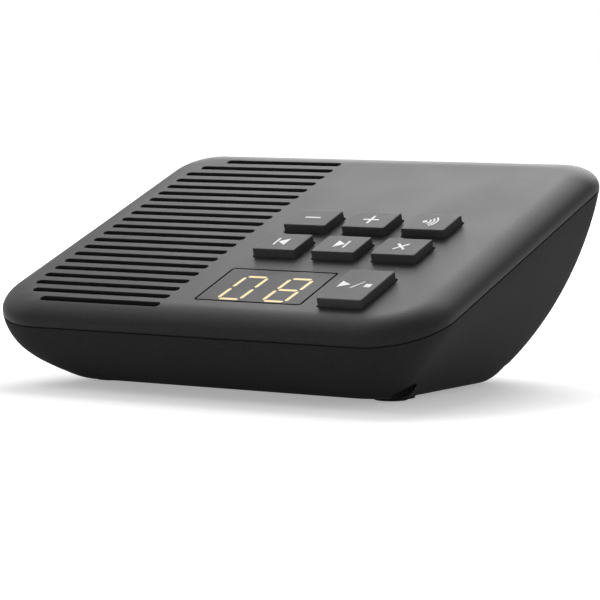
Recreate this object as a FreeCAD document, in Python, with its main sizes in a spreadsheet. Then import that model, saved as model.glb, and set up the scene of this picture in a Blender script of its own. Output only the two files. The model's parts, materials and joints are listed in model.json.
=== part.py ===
import FreeCAD, Part
import math
import os
import re
import Sketcher

# Desktop telephone answering machine: a shallow bowl-shaped case with a sloping deck.
# World frame: +X to the right along the front edge, +Y to the rear, +Z up, and the
# origin on the table under the middle of the case. The deck frame has the same X, and
# its XY plane is the sloping top face, with its origin at the middle of that face.

os.makedirs("parts", exist_ok=True)
doc = FreeCAD.newDocument("answering_machine")
Vector = FreeCAD.Vector

SIZES = [
    ("case_width", 117, "overall width of the case"),
    ("deck_depth", 94.2, "front to rear, along the slope"),
    ("deck_tilt", 20.5, "slope of the deck in degrees"),
    ("deck_height", 34.3, "middle of the deck above the table"),
    ("deck_setback", 1.45, "middle of the deck in front of the middle of the case"),
    ("front_corner", 15.7, "corner radius of the deck at the front"),
    ("rear_corner", 11.5, "corner radius of the deck at the rear"),
    ("roll_width", 7, "rounded edge of the deck, measured across it"),
    ("roll_depth", 4.2, "rounded edge of the deck, measured down"),
    ("seam_depth", 4.5, "joint between cover and tray, below the deck"),
    ("skin", 2, "thickness of the deck"),
    ("wall", 2.2, "thickness of the side walls"),
    ("lip_thick", 0.9, "tongue along the tray's rim"),
    ("lip_rise", 1.5, "height of that tongue"),
    ("lip_shoulder", 0.1, "tongue from the inside of the wall"),
    ("lip_gap", 0.15, "clearance round the tongue"),
    ("floor_width", 86, "flat underside, side to side"),
    ("floor_front", 30.8, "flat underside, in front of the middle"),
    ("floor_rear", 23, "flat underside, behind the middle"),
    ("floor_height", 0.9, "underside above the table"),
    ("floor_front_corner", 9, "corner radius of the underside at the front"),
    ("floor_rear_corner", 14, "corner radius of the underside at the rear"),
    ("side_bulge", 1.31, "power of the curve of the side walls"),
    ("front_bulge", 3.3, "power of the curve of the front wall"),
    ("rear_bulge", 2.77, "power of the curve of the rear wall"),
    ("slot_pitch", 4, "spacing of the sound slots"),
    ("slot_width", 1.92, "width of a sound slot"),
    ("slot_right", 10.36, "right end of the slots, left of the deck's middle"),
    ("slot_left_margin", 8.2, "left end of the slots from the deck's edge"),
    ("slot_rear_margin", 8.2, "first slot's middle from the deck's rear edge"),
    ("slot_front_margin", 6, "last slot's middle from the deck's front edge"),
    ("slot_field_corner", 12, "corner radius of the field of slots"),
    ("key_width", 11.2, "small key, side to side"),
    ("key_depth", 8.64, "small key, front to rear"),
    ("play_key_depth", 15.1, "long key, front to rear"),
    ("key_rise", 1.95, "key top above the deck"),
    ("key_gap", 0.35, "clearance between key and deck"),
    ("key_corner", 0.6, "corner radius of a key"),
    ("key_flange", 0.8, "retaining flange round a key"),
    ("key_flange_thick", 1, "thickness of that flange"),
    ("key_float", 0.05, "play between flange and deck"),
    ("key_column", 3.4, "first key column, right of the deck's middle"),
    ("key_column_pitch", 15.48, "spacing of the key columns"),
    ("key_row", 3.57, "rear key row, behind the deck's middle"),
    ("key_row_pitch", 13.68, "spacing of the two small key rows"),
    ("play_row", 30.34, "long key, in front of the deck's middle"),
    ("stem_side", 5, "square stem under a key"),
    ("window_width", 27.26, "display window, side to side"),
    ("window_depth", 16.37, "display window, front to rear"),
    ("window_x", 10.41, "display window, right of the deck's middle"),
    ("window_y", 29.4, "display window, in front of the deck's middle"),
    ("window_gap", 0.3, "clearance between window and deck"),
    ("window_corner", 0.9, "corner radius of the window"),
    ("window_flange", 1.2, "flange round the window under the deck"),
    ("window_flange_thick", 0.9, "thickness of that flange"),
    ("module_width", 25.2, "display module, side to side"),
    ("module_depth", 14.4, "display module, front to rear"),
    ("segment_length", 5.4, "bar of a digit"),
    ("segment_width", 0.95, "width of that bar"),
    ("segment_deep", 2, "light guide behind a bar"),
    ("segment_gap", 0.25, "gap between two bars, along a bar"),
    ("digit_pitch", 11.7, "spacing of the two digits"),
    ("digit_lean", 0.05, "lean of the digits, sideways per height"),
    ("board_thick", 1.6, "thickness of a circuit board"),
    ("key_board_drop", 8, "top of the key board below the deck"),
    ("key_board_left", 7, "left edge, left of the deck's middle"),
    ("key_board_right", 40.4, "right edge, right of the deck's middle"),
    ("key_board_front", 40, "front edge, in front of the deck's middle"),
    ("key_board_rear", 13.6, "rear edge, behind the deck's middle"),
    ("switch_side", 6, "square body of a key switch"),
    ("switch_tall", 3.5, "height of that body"),
    ("plunger_radius", 1.7, "push button of a key switch"),
    ("plunger_rise", 0.8, "that button above its switch"),
    ("plunger_length", 2.5, "whole length of that button"),
    ("plunger_gap", 0.15, "clearance round that button"),
    ("plunger_spare", 0.2, "room under that button when it is pressed"),
    ("key_travel", 0.6, "travel of a key"),
    ("key_post_radius", 2.1, "posts that carry the key board"),
    ("key_post_left", 4.5, "left posts, left of the deck's middle"),
    ("key_post_right", 38, "right posts, right of the deck's middle"),
    ("key_post_rear", 11.4, "rear posts, behind the deck's middle"),
    ("key_post_front", 17.7, "front posts, in front of the deck's middle"),
    ("small_pilot", 1.1, "pilot hole of a small screw"),
    ("small_shank", 1.05, "shank radius of a small screw"),
    ("small_clear", 1.25, "clearance hole of a small screw"),
    ("small_head", 2, "head radius of a small screw"),
    ("small_head_tall", 1.4, "head height of a small screw"),
    ("small_bite", 2.4, "length of a small screw in its post"),
    ("speaker_y", 6, "loudspeaker, in front of the deck's middle"),
    ("speaker_radius", 19, "outside of the loudspeaker's flange"),
    ("speaker_mouth", 16.6, "inside of that flange"),
    ("gasket_thick", 0.8, "foam ring between loudspeaker and deck"),
    ("cloth_thick", 0.3, "dust cloth behind the slots"),
    ("flange_thick", 1, "flange of the loudspeaker"),
    ("basket_wall", 0.8, "sheet of the loudspeaker's basket"),
    ("basket_drop", 6.2, "height of the basket's cone"),
    ("basket_foot", 10.5, "radius of the basket at the magnet"),
    ("basket_hole", 6.2, "hole through the basket's foot"),
    ("cone_radius", 13.1, "edge of the paper cone"),
    ("cone_neck", 5, "paper cone at the voice coil"),
    ("cone_drop", 4, "height of the paper cone"),
    ("cone_thick", 0.5, "paper of the cone"),
    ("cone_edge_gap", 0.3, "clearance between cone and surround"),
    ("surround_rise", 0.8, "height of the surround's roll"),
    ("surround_thick", 0.4, "foam of the surround"),
    ("coil_wall", 0.5, "voice coil and its tube"),
    ("coil_length", 4, "length of the voice coil below the cone"),
    ("coil_gap", 0.45, "clearance round the voice coil"),
    ("cone_travel", 0.4, "largest excursion of the cone"),
    ("plate_thick", 1.2, "pole plates of the loudspeaker"),
    ("plate_radius", 9.5, "radius of those plates"),
    ("magnet_radius", 10, "ring magnet"),
    ("magnet_tall", 2.8, "height of the ring magnet"),
    ("speaker_post_radius", 2, "posts beside the loudspeaker"),
    ("speaker_post_gap", 0.3, "clearance between post and flange"),
    ("clamp_head", 3, "head radius of a clamping screw"),
    ("clamp_head_tall", 1.2, "head height of a clamping screw"),
    ("boss_radius", 4.3, "case screw columns of the tray"),
    ("cover_boss_radius", 2.7, "case screw columns of the cover"),
    ("boss_front_x", 43.9, "front case screws, from the middle"),
    ("boss_front_y", 26.5, "front case screws, in front of the middle"),
    ("boss_front_joint", 13, "top of the front columns"),
    ("boss_rear_x", 42, "rear case screws, from the middle"),
    ("boss_rear_y", 18, "rear case screws, behind the middle"),
    ("boss_rear_joint", 27, "top of the rear columns"),
    ("counterbore", 2.9, "radius of the bore below a case screw"),
    ("shelf", 3, "material under a case screw's head"),
    ("case_screw_clear", 1.6, "clearance hole of a case screw"),
    ("case_screw_pilot", 1.25, "pilot hole of a case screw"),
    ("case_screw_shank", 1.2, "shank radius of a case screw"),
    ("case_screw_bite", 6.5, "length of a case screw in the cover"),
    ("case_screw_head", 2.6, "head radius of a case screw"),
    ("case_screw_head_tall", 2.2, "head height of a case screw"),
    ("foot_radius", 3.8, "rubber foot"),
    ("foot_rim", 1.5, "raised rim round a foot"),
    ("foot_rim_drop", 0.4, "that rim below the underside"),
    ("foot_sunk", 1, "foot inside its recess"),
    ("foot_front_x", 37.3, "front feet, from the middle"),
    ("foot_front_y", 20.65, "front feet, in front of the middle"),
    ("foot_rear_x", 33.3, "rear feet, from the middle"),
    ("foot_rear_y", 17, "rear feet, behind the middle"),
    ("main_board_left", 34, "left edge, from the middle"),
    ("main_board_right", 34, "right edge, from the middle"),
    ("main_board_front", 22, "front edge, in front of the middle"),
    ("main_board_post", 3.9, "posts under the main board"),
    ("main_post_radius", 2.2, "radius of those posts"),
    ("main_post_x", 30, "those posts, from the middle"),
    ("main_post_front", 15, "front posts, in front of the middle"),
    ("main_post_rear", 9, "rear posts, behind the middle"),
    ("alcove_panel", 20, "connector panel's inner face, behind the middle"),
    ("alcove_wall", 2, "walls of the connector alcove"),
    ("alcove_left", 26, "inside of the alcove, left of the middle"),
    ("alcove_right", 22, "inside of the alcove, right of the middle"),
    ("alcove_low", 6.5, "inside of the alcove above the table"),
    ("alcove_high", 21.5, "top of the inside of the alcove"),
    ("socket_gap", 0.4, "clearance round a connector in the panel"),
    ("line_x", 10.5, "telephone line socket, right of the middle"),
    ("line_width", 13, "line socket, side to side"),
    ("line_deep", 13, "line socket, front to rear"),
    ("line_tall", 11.5, "height of the line socket"),
    ("line_mouth_width", 9.8, "mouth of the line socket"),
    ("line_mouth_tall", 7.4, "height of that mouth"),
    ("line_mouth_deep", 11, "depth of that mouth"),
    ("inlet_x", 15.5, "supply inlet, left of the middle"),
    ("inlet_width", 9, "supply inlet, side to side"),
    ("inlet_deep", 14, "supply inlet, front to rear"),
    ("inlet_tall", 11, "height of the supply inlet"),
    ("inlet_bore", 2.85, "radius of the supply inlet's bore"),
    ("inlet_bore_deep", 9.5, "depth of that bore"),
    ("inlet_pin", 1, "radius of the centre pin"),
    ("inlet_pin_length", 8.5, "length of the centre pin"),
    ("can_width", 20, "radio shield, side to side"),
    ("can_deep", 17, "radio shield, front to rear"),
    ("can_tall", 3, "height of the radio shield"),
    ("can_wall", 0.4, "sheet of the radio shield"),
    ("can_x", 16, "middle of the shield, right of the middle"),
    ("can_y", 10, "middle of the shield, in front of the middle"),
    ("chip_side", 12, "processor"),
    ("chip_tall", 1.4, "height of the processor"),
    ("chip_x", 7, "processor, left of the middle"),
    ("chip_y", 10, "processor, in front of the middle"),
    ("capacitor_radius", 3.2, "electrolytic capacitors"),
    ("capacitor_tall", 9, "height of the capacitors"),
    ("capacitor_y", 9, "capacitors, behind the middle"),
    ("capacitor_x", 4, "left capacitor, left of the middle"),
    ("capacitor_step", 26, "spacing of the two capacitors"),
    ("header_width", 14, "cable headers, side to side"),
    ("header_deep", 4, "cable headers, front to rear"),
    ("header_tall", 3, "height of a cable header"),
    ("header_x", 3, "cable headers, left of the middle"),
    ("cable_width", 11, "flat cable between the boards"),
    ("cable_thick", 0.4, "thickness of the flat cable"),
    ("cable_y", 1.1, "flat cable, behind the middle"),
    ("wire_radius", 0.6, "wires of the loudspeaker"),
    ("wire_pitch", 3, "spacing of those wires"),
    ("tag_width", 5.5, "terminal tag, side to side"),
    ("tag_deep", 6, "terminal tag, front to rear"),
    ("tag_thick", 1, "thickness of the terminal tag"),
]
NAMES = {name for name, value, note in SIZES}
sheet = doc.addObject("Spreadsheet::Sheet", "sizes")
for row, (name, value, note) in enumerate(SIZES, start=1):
    sheet.set(f"A{row}", note)
    sheet.set(f"B{row}", str(value))
    sheet.setAlias(f"B{row}", name)
doc.recompute()
nodes = []


def size(name):
    """Value of one cell."""
    return float(getattr(sheet, name))


def linked(text):
    """Expression in which each size's name points at its cell."""
    def point(hit):
        word = hit.group(0)
        return "sizes." + word if word in NAMES else word

    return re.sub(r"[a-z_]+", point, text)


def bind(thing, **texts):
    """Tie properties of an object to the sheet."""
    for prop, text in texts.items():
        thing.setExpression(prop, linked(text))
    return thing


def place(thing, x="0", y="0", z="0", tilt="0"):
    """Tie an object's place, and its turn about X, to the sheet."""
    thing.Placement = FreeCAD.Placement(Vector(0, 0, 0), FreeCAD.Rotation(Vector(1, 0, 0), 1))
    for key, text in (("Base.x", x), ("Base.y", y), ("Base.z", z), ("Rotation.Angle", tilt)):
        thing.setExpression("Placement." + key, linked(text))
    return thing


def group(things, name="group"):
    """Several separate solids in one object."""
    compound = doc.addObject("Part::Compound", name)
    compound.Links = things
    return compound


def on_deck(thing):
    """Put an object that is built in the deck frame into the world."""
    return place(group([thing], "on_deck"), y="-deck_setback", z="deck_height", tilt="deck_tilt")


def node(thing, name):
    """Name a finished sub-part; what it is made of keeps a longer name."""
    for other in doc.getObjectsByLabel(name):
        other.Label = name + "_form"
    thing.Label = name
    nodes.append(thing)
    return thing


def block(width, depth, tall, x="0", y="0", z="0", name="block"):
    """Box centred on x and y, with its underside at z."""
    box = bind(doc.addObject("Part::Box", name), Length=width, Width=depth, Height=tall)
    return place(box, f"({x}) - ({width}) / 2", f"({y}) - ({depth}) / 2", z)


def rod(radius, tall, x="0", y="0", z="0", name="rod"):
    """Upright cylinder with its underside at z."""
    cylinder = bind(doc.addObject("Part::Cylinder", name), Radius=radius, Height=tall)
    return place(cylinder, x, y, z)


def fuse(things, name="fusion"):
    if len(things) == 1:
        return things[0]
    joined = doc.addObject("Part::MultiFuse", name)
    joined.Shapes = things
    return joined


def cut(base, tools, name="cut"):
    result = doc.addObject("Part::Cut", name)
    result.Base = base
    result.Tool = fuse(tools) if isinstance(tools, list) else tools
    return result


def common(base, tool, name="common"):
    result = doc.addObject("Part::Common", name)
    result.Base = base
    result.Tool = tool
    return result


def ring(outer, inner, tall, x="0", y="0", z="0", name="ring"):
    """Flat ring with its underside at z."""
    return cut(rod(outer, tall, x, y, z), [rod(inner, tall, x, y, z)], name)


def outline(half, front, rear, front_radius, rear_radius, name="outline"):
    """Sketch of a rounded rectangle: four lines and four tangent arcs, counter-clockwise."""
    sketch = doc.addObject("Sketcher::SketchObject", name)
    a, b, r = 50.0, 40.0, 8.0
    quarter = math.pi / 2
    normal = Vector(0, 0, 1)

    def line(x0, y0, x1, y1):
        sketch.addGeometry(Part.LineSegment(Vector(x0, y0, 0), Vector(x1, y1, 0)))

    def arc(x, y, start):
        sketch.addGeometry(Part.ArcOfCircle(Part.Circle(Vector(x, y, 0), normal, r), start, start + quarter))

    line(-a + r, -b, a - r, -b)
    arc(a - r, -b + r, -quarter)
    line(a, -b + r, a, b - r)
    arc(a - r, b - r, 0)
    line(a - r, b, -a + r, b)
    arc(-a + r, b - r, quarter)
    line(-a, b - r, -a, -b + r)
    arc(-a + r, -b + r, 2 * quarter)
    for first in range(8):
        sketch.addConstraint(Sketcher.Constraint("Tangent", first, 2, (first + 1) % 8, 1))
    for flat in (0, 4):
        sketch.addConstraint(Sketcher.Constraint("Horizontal", flat))
    for upright in (2, 6):
        sketch.addConstraint(Sketcher.Constraint("Vertical", upright))
    driven = [
        ("right", Sketcher.Constraint("DistanceX", -1, 1, 2, 1, a), half),
        ("left", Sketcher.Constraint("DistanceX", 6, 1, -1, 1, a), half),
        ("front", Sketcher.Constraint("DistanceY", -1, 1, 0, 1, -b), front),
        ("rear", Sketcher.Constraint("DistanceY", -1, 1, 4, 1, b), rear),
        ("front_right", Sketcher.Constraint("Radius", 1, r), front_radius),
        ("rear_right", Sketcher.Constraint("Radius", 3, r), rear_radius),
        ("rear_left", Sketcher.Constraint("Radius", 5, r), rear_radius),
        ("front_left", Sketcher.Constraint("Radius", 7, r), front_radius),
    ]
    for name, constraint, text in driven:
        index = sketch.addConstraint(constraint)
        sketch.renameConstraint(index, name)
        sketch.setExpression("Constraints." + name, linked(text))
    return sketch


def extrude(sketch, tall, name="extrusion"):
    """Solid above a closed sketch."""
    solid = doc.addObject("Part::Extrusion", name)
    solid.Base = sketch
    solid.DirMode = "Custom"
    solid.Dir = Vector(0, 0, 1)
    solid.Solid = True
    return bind(solid, LengthFwd=tall)


def slab(width, depth, corner, low, high, x="0", y="0", name="slab"):
    """Rounded rectangular plate between two levels, centred on x and y."""
    sketch = outline(f"({width}) / 2", f"-({depth}) / 2", f"({depth}) / 2", corner, corner)
    place(sketch, x, y, low)
    return extrude(sketch, f"({high}) - ({low})", name)


def deck_slab(inset, low, high, name="deck_slab"):
    """Plate with the deck's outline, drawn in by inset, between two levels of the deck frame."""
    half_depth = f"deck_depth / 2 - ({inset})"
    sketch = outline(f"case_width / 2 - ({inset})", f"-({half_depth})", half_depth,
                     f"front_corner - ({inset})", f"rear_corner - ({inset})")
    place(sketch, z=low)
    return extrude(sketch, f"({high}) - ({low})", name)


def solid_feature(shape, name):
    """Feature that holds a shape made from the sheet's values."""
    feature = doc.addObject("Part::Feature", name)
    feature.Shape = shape
    return feature


def turned(points, name="turned"):
    """Solid of revolution about the Z axis from corners given as radius and height."""
    corners = [Vector(radius, 0, height) for radius, height in points]
    face = Part.Face(Part.makePolygon(corners + [corners[0]]))
    return solid_feature(face.revolve(Vector(0, 0, 0), Vector(0, 0, 1), 360), name)


# Top cover

def deck_corners(inset):
    """Centre, radius and first angle of the deck's corners, counter-clockwise, drawn in by inset."""
    half, deep = size("case_width") / 2 - inset, size("deck_depth") / 2 - inset
    front, rear = size("front_corner") - inset, size("rear_corner") - inset
    return [(half - front, -deep + front, front, -90), (half - rear, deep - rear, rear, 0),
            (-half + rear, deep - rear, rear, 90), (-half + front, -deep + front, front, 180)]


def rolled_block():
    """The cover's outside: the outline's edge is a quarter ellipse, carried round the outline."""
    across, down, seam = size("roll_width"), size("roll_depth"), size("seam_depth")
    corners = deck_corners(0)

    def edge_profile(radius):
        """Section of the edge with its outer corner at the given distance along X."""
        axis = Part.Ellipse(Vector(radius, 0, -down), Vector(radius - across, 0, 0),
                            Vector(radius - across, 0, -down))
        roll = Part.ArcOfEllipse(axis, 0, math.pi / 2).toShape()
        inner = Vector(radius - across, 0, 0)
        foot = Vector(radius - across, 0, -seam)
        toe = Vector(radius, 0, -seam)
        side = Vector(radius, 0, -down)
        lines = [Part.makeLine(inner, foot), Part.makeLine(foot, toe), Part.makeLine(toe, side)]
        return Part.Face(Part.Wire(Part.__sortEdges__([roll] + lines)))

    pieces = []
    for index, (x, y, radius, angle) in enumerate(corners):
        profile = edge_profile(radius)
        profile.rotate(Vector(0, 0, 0), Vector(0, 0, 1), angle)
        corner = profile.revolve(Vector(0, 0, 0), Vector(0, 0, 1), 90)
        corner.translate(Vector(x, y, 0))
        pieces.append(corner)
        turn = math.radians(angle + 90)
        start = Vector(x + radius * math.cos(turn), y + radius * math.sin(turn), 0)
        next_x, next_y, next_radius, _ = corners[(index + 1) % 4]
        finish = Vector(next_x + next_radius * math.cos(turn), next_y + next_radius * math.sin(turn), 0)
        run = edge_profile(radius)
        run.rotate(Vector(0, 0, 0), Vector(0, 0, 1), angle + 90)
        run.translate(Vector(x, y, 0))
        pieces.append(run.extrude(finish - start))
    whole = pieces[0].fuse(pieces[1:] + [deck_core(across, seam)])
    return solid_feature(whole.removeSplitter(), "rolled_block")


def deck_core(inset, tall):
    """Middle of the cover's outside, within the rounded edge."""
    edges = []
    ends = []
    for x, y, radius, angle in deck_corners(inset):
        circle = Part.Circle(Vector(x, y, -tall), Vector(0, 0, 1), radius)
        arc = Part.ArcOfCircle(circle, math.radians(angle), math.radians(angle + 90))
        edges.append(arc.toShape())
        ends.append((arc.StartPoint, arc.EndPoint))
    for index in range(4):
        edges.append(Part.makeLine(ends[index][1], ends[(index + 1) % 4][0]))
    wire = Part.Wire(Part.__sortEdges__(edges))
    return Part.Face(wire).extrude(Vector(0, 0, tall))


KEYS = [
    ("minus_key", "key_column", "key_row", "key_depth"),
    ("plus_key", "key_column + key_column_pitch", "key_row", "key_depth"),
    ("paging_key", "key_column + 2 * key_column_pitch", "key_row", "key_depth"),
    ("previous_key", "key_column", "key_row - key_row_pitch", "key_depth"),
    ("next_key", "key_column + key_column_pitch", "key_row - key_row_pitch", "key_depth"),
    ("delete_key", "key_column + 2 * key_column_pitch", "key_row - key_row_pitch", "key_depth"),
    ("play_stop_key", "key_column + 2 * key_column_pitch", "-play_row", "play_key_depth"),
]
KEY_POSTS = [("-key_post_left", "key_post_rear"), ("key_post_right", "key_post_rear"),
             ("-key_post_left", "-key_post_front"), ("key_post_right", "-key_post_front")]
BOSSES = [("boss_front_x", "-boss_front_y", "boss_front_joint"),
          ("-boss_front_x", "-boss_front_y", "boss_front_joint"),
          ("boss_rear_x", "boss_rear_y", "boss_rear_joint"),
          ("-boss_rear_x", "boss_rear_y", "boss_rear_joint")]
FLANGE_UNDER = "(-skin - gasket_thick - flange_thick)"
SLOT_LENGTH = "(case_width / 2 - slot_left_margin - slot_right)"
SLOT_MIDDLE = "(-slot_right - (case_width / 2 - slot_left_margin - slot_right) / 2)"
SPEAKER_POST_ANGLES = (30, 150, 270)


def speaker_post_places():
    """Three posts round the loudspeaker's flange."""
    reach = "(speaker_radius + speaker_post_radius + speaker_post_gap)"
    return [(f"{SLOT_MIDDLE} + {reach} * cos({angle})", f"-speaker_y + {reach} * sin({angle})")
            for angle in SPEAKER_POST_ANGLES]


def slot_field():
    """The sound slots, cut off along a field with rounded left corners."""
    span = size("deck_depth") - size("slot_rear_margin") - size("slot_front_margin")
    rounding = 1e-6
    count = int(span / size("slot_pitch") + rounding) + 1
    first = "deck_depth / 2 - slot_rear_margin"
    bars = []
    for index in range(count):
        y = f"{first} - {index} * slot_pitch"
        bars.append(block(SLOT_LENGTH, "slot_width", "2 * skin", SLOT_MIDDLE, y, "-1.5 * skin", "slot"))
    depth = f"{count} * slot_pitch - (slot_pitch - slot_width) / 2"
    field = slab(f"2 * {SLOT_LENGTH}", depth, "slot_field_corner", "-2 * skin", "skin",
                 "-slot_right", f"{first} - {count - 1} / 2 * slot_pitch")
    return common(fuse(bars, "slot_bars"), field, "slots")


def make_cover():
    hollow = deck_slab("wall", "-seam_depth", "-skin", "cover_hollow")
    rebate = deck_slab("wall - lip_shoulder - lip_thick - lip_gap", "-seam_depth",
                       "-seam_depth + lip_rise + lip_gap", "rebate")
    holes = [hollow, rebate, slot_field()]
    for name, x, y, depth in KEYS:
        holes.append(slab("key_width + 2 * key_gap", f"{depth} + 2 * key_gap", "key_corner + key_gap",
                          "-2 * skin", "skin", x, y, "key_hole"))
    holes.append(slab("window_width + 2 * window_gap", "window_depth + 2 * window_gap",
                      "window_corner + window_gap", "-2 * skin", "skin", "window_x", "-window_y",
                      "window_hole"))
    shell = cut(rolled_block(), holes, "cover_shell")
    posts = []
    pilots = []
    for x, y in KEY_POSTS:
        posts.append(rod("key_post_radius", "key_board_drop - skin / 2", x, y, "-key_board_drop", "key_post"))
        pilots.append(rod("small_pilot", "small_bite + small_head_tall", x, y, "-key_board_drop", "pilot"))
    post_tall = f"-{FLANGE_UNDER} - skin / 2"
    pilot_deep = f"-{FLANGE_UNDER} - skin + skin / 4"
    for x, y in speaker_post_places():
        posts.append(rod("speaker_post_radius", post_tall, x, y, FLANGE_UNDER, "speaker_post"))
        pilots.append(rod("small_pilot", pilot_deep, x, y, FLANGE_UNDER, "pilot"))
    deck = on_deck(cut(fuse([shell] + posts, "cover_posts"), pilots, "cover_deck"))
    room = on_deck(deck_slab("wall / 2", "-deck_height", "-skin / 2", "boss_room"))
    bosses = []
    bores = []
    for x, y, joint in BOSSES:
        bosses.append(rod("cover_boss_radius", "deck_height", x, y, joint, "cover_boss"))
        bores.append(rod("case_screw_pilot", "case_screw_bite + skin / 2", x, y, joint, "pilot"))
    whole = fuse([deck, common(fuse(bosses, "cover_bosses"), room)], "cover_whole")
    node(cut(whole, bores, "top_cover"), "top_cover")


# Base tray

def tray_sections(inset, floor, corner_inset):
    """Planar outlines from the sloping seam down to the level floor, hinged on one line in front."""
    tan_tilt = "tan(deck_tilt)"
    hinge = f"(-deck_setback + (({floor}) - deck_height + seam_depth / cos(deck_tilt)) / {tan_tilt})"
    front_top = "(-deck_setback - deck_depth / 2 * cos(deck_tilt) + seam_depth * sin(deck_tilt))"
    rear_top = "(-deck_setback + deck_depth / 2 * cos(deck_tilt) + seam_depth * sin(deck_tilt))"
    sections = []
    steps = 7
    for index in range(steps):
        down = index / (steps - 1)
        slope = f"atan({1 - down} * {tan_tilt})"
        side = f"{down} ^ side_bulge"
        front = f"{down} ^ front_bulge"
        rear = f"{down} ^ rear_bulge"
        half = f"case_width / 2 * (1 - {side}) + floor_width / 2 * {side} - ({inset})"
        front_y = f"{front_top} * (1 - {front}) - floor_front * {front}"
        rear_y = f"{rear_top} * (1 - {rear}) + floor_rear * {rear}"
        front_radius = f"front_corner * {1 - down} + floor_front_corner * {down} - ({corner_inset})"
        rear_radius = f"rear_corner * {1 - down} + floor_rear_corner * {down} - ({corner_inset})"
        near = f"({front_y} - {hinge}) / cos({slope}) + ({inset})"
        far = f"({rear_y} - {hinge}) / cos({slope}) - ({inset})"
        sketch = outline(half, near, far, front_radius, rear_radius, "section")
        place(sketch, "0", hinge, floor, slope)
        sections.append(sketch)
    return sections


def loft(sections, name):
    solid = doc.addObject("Part::Loft", name)
    solid.Sections = sections
    solid.Solid = True
    solid.Ruled = False
    return solid


FEET = [("foot_front_left", "-foot_front_x", "-foot_front_y"),
        ("foot_front_right", "foot_front_x", "-foot_front_y"),
        ("foot_rear_left", "-foot_rear_x", "foot_rear_y"),
        ("foot_rear_right", "foot_rear_x", "foot_rear_y")]
MAIN_POSTS = [("-main_post_x", "-main_post_front"), ("main_post_x", "-main_post_front"),
              ("-main_post_x", "main_post_rear"), ("main_post_x", "main_post_rear")]
FLOOR_TOP = "(floor_height + wall)"
MAIN_UNDER = "(floor_height + wall + main_board_post)"
MAIN_TOP = "(floor_height + wall + main_board_post + board_thick)"
ALCOVE_X = "(alcove_right - alcove_left) / 2"
ALCOVE_WIDTH = "(alcove_right + alcove_left)"
PANEL_OUT = "(alcove_panel + alcove_wall)"
FOOT_TOP = "(floor_height - foot_rim_drop + foot_sunk)"


def make_tray():
    outer = loft(tray_sections("0", "floor_height", "0"), "tray_outer")
    inner = loft(tray_sections("wall", FLOOR_TOP, "wall"), "tray_inner")
    shell = cut(outer, inner, "tray_shell")
    columns = [rod("boss_radius", joint, x, y, "0", "column") for x, y, joint in BOSSES]
    reach = "deck_depth"
    alcove = block(f"{ALCOVE_WIDTH} + 2 * alcove_wall", reach, "alcove_high - alcove_low + 2 * alcove_wall",
                   ALCOVE_X, f"alcove_panel + {reach} / 2", "alcove_low - alcove_wall", "alcove_block")
    inside = common(fuse(columns + [alcove], "tray_inside"), outer, "tray_carriers")
    posts = [rod("main_post_radius", f"{MAIN_UNDER} - floor_height - wall / 2", x, y,
                 "floor_height + wall / 2", "main_post") for x, y in MAIN_POSTS]
    rims = [rod("foot_radius + foot_rim", "foot_rim_drop + wall / 2", x, y,
                "floor_height - foot_rim_drop", "foot_rim") for name, x, y in FEET]
    tongue = deck_slab("wall - lip_shoulder - lip_thick", "-seam_depth - lip_rise / 3",
                       "-seam_depth + lip_rise")
    inside_tongue = deck_slab("wall - lip_shoulder", "-seam_depth - lip_rise", "-seam_depth + 2 * lip_rise")
    lip = on_deck(cut(tongue, [inside_tongue], "tray_lip"))
    holes = []
    for x, y, joint in BOSSES:
        holes.append(rod("counterbore", f"{joint} - shelf", x, y, "0", "counterbore"))
        holes.append(rod("case_screw_clear", joint, x, y, "0", "screw_hole"))
    for x, y in MAIN_POSTS:
        holes.append(rod("small_pilot", "small_bite + small_head_tall", x, y,
                         f"{MAIN_UNDER} - small_bite - small_head_tall", "pilot"))
    for name, x, y in FEET:
        holes.append(rod("foot_radius", FOOT_TOP, x, y, "0", "foot_recess"))
    holes.append(block(ALCOVE_WIDTH, reach, "alcove_high - alcove_low", ALCOVE_X,
                       f"{PANEL_OUT} + {reach} / 2", "alcove_low", "alcove_room"))
    holes.append(block("line_mouth_width + 2 * socket_gap", "3 * alcove_wall",
                       "line_mouth_tall + 2 * socket_gap", "line_x", "alcove_panel + alcove_wall / 2",
                       f"{MAIN_TOP} + (line_tall - line_mouth_tall) / 2 - socket_gap", "line_hole"))
    inlet_hole = rod("inlet_bore + 4 * socket_gap", "3 * alcove_wall", name="inlet_hole")
    place(inlet_hole, "-inlet_x", "alcove_panel + 2 * alcove_wall", f"{MAIN_TOP} + inlet_tall / 2", "90")
    holes.append(inlet_hole)
    whole = fuse([shell, inside, lip] + posts + rims, "tray_whole")
    node(cut(whole, holes, "base_tray"), "base_tray")
    for name, x, y in FEET:
        node(rod("foot_radius", FOOT_TOP, x, y, "0", name), name)


# Display

def make_window():
    top = slab("window_width", "window_depth", "window_corner", "-skin", "0", "window_x", "-window_y", "lens")
    flange = slab("window_width + 2 * window_flange", "window_depth + 2 * window_flange",
                  "window_corner", "-skin - window_flange_thick", "-skin", "window_x", "-window_y",
                  "lens_flange")
    node(on_deck(fuse([top, flange], "display_window")), "display_window")


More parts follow.
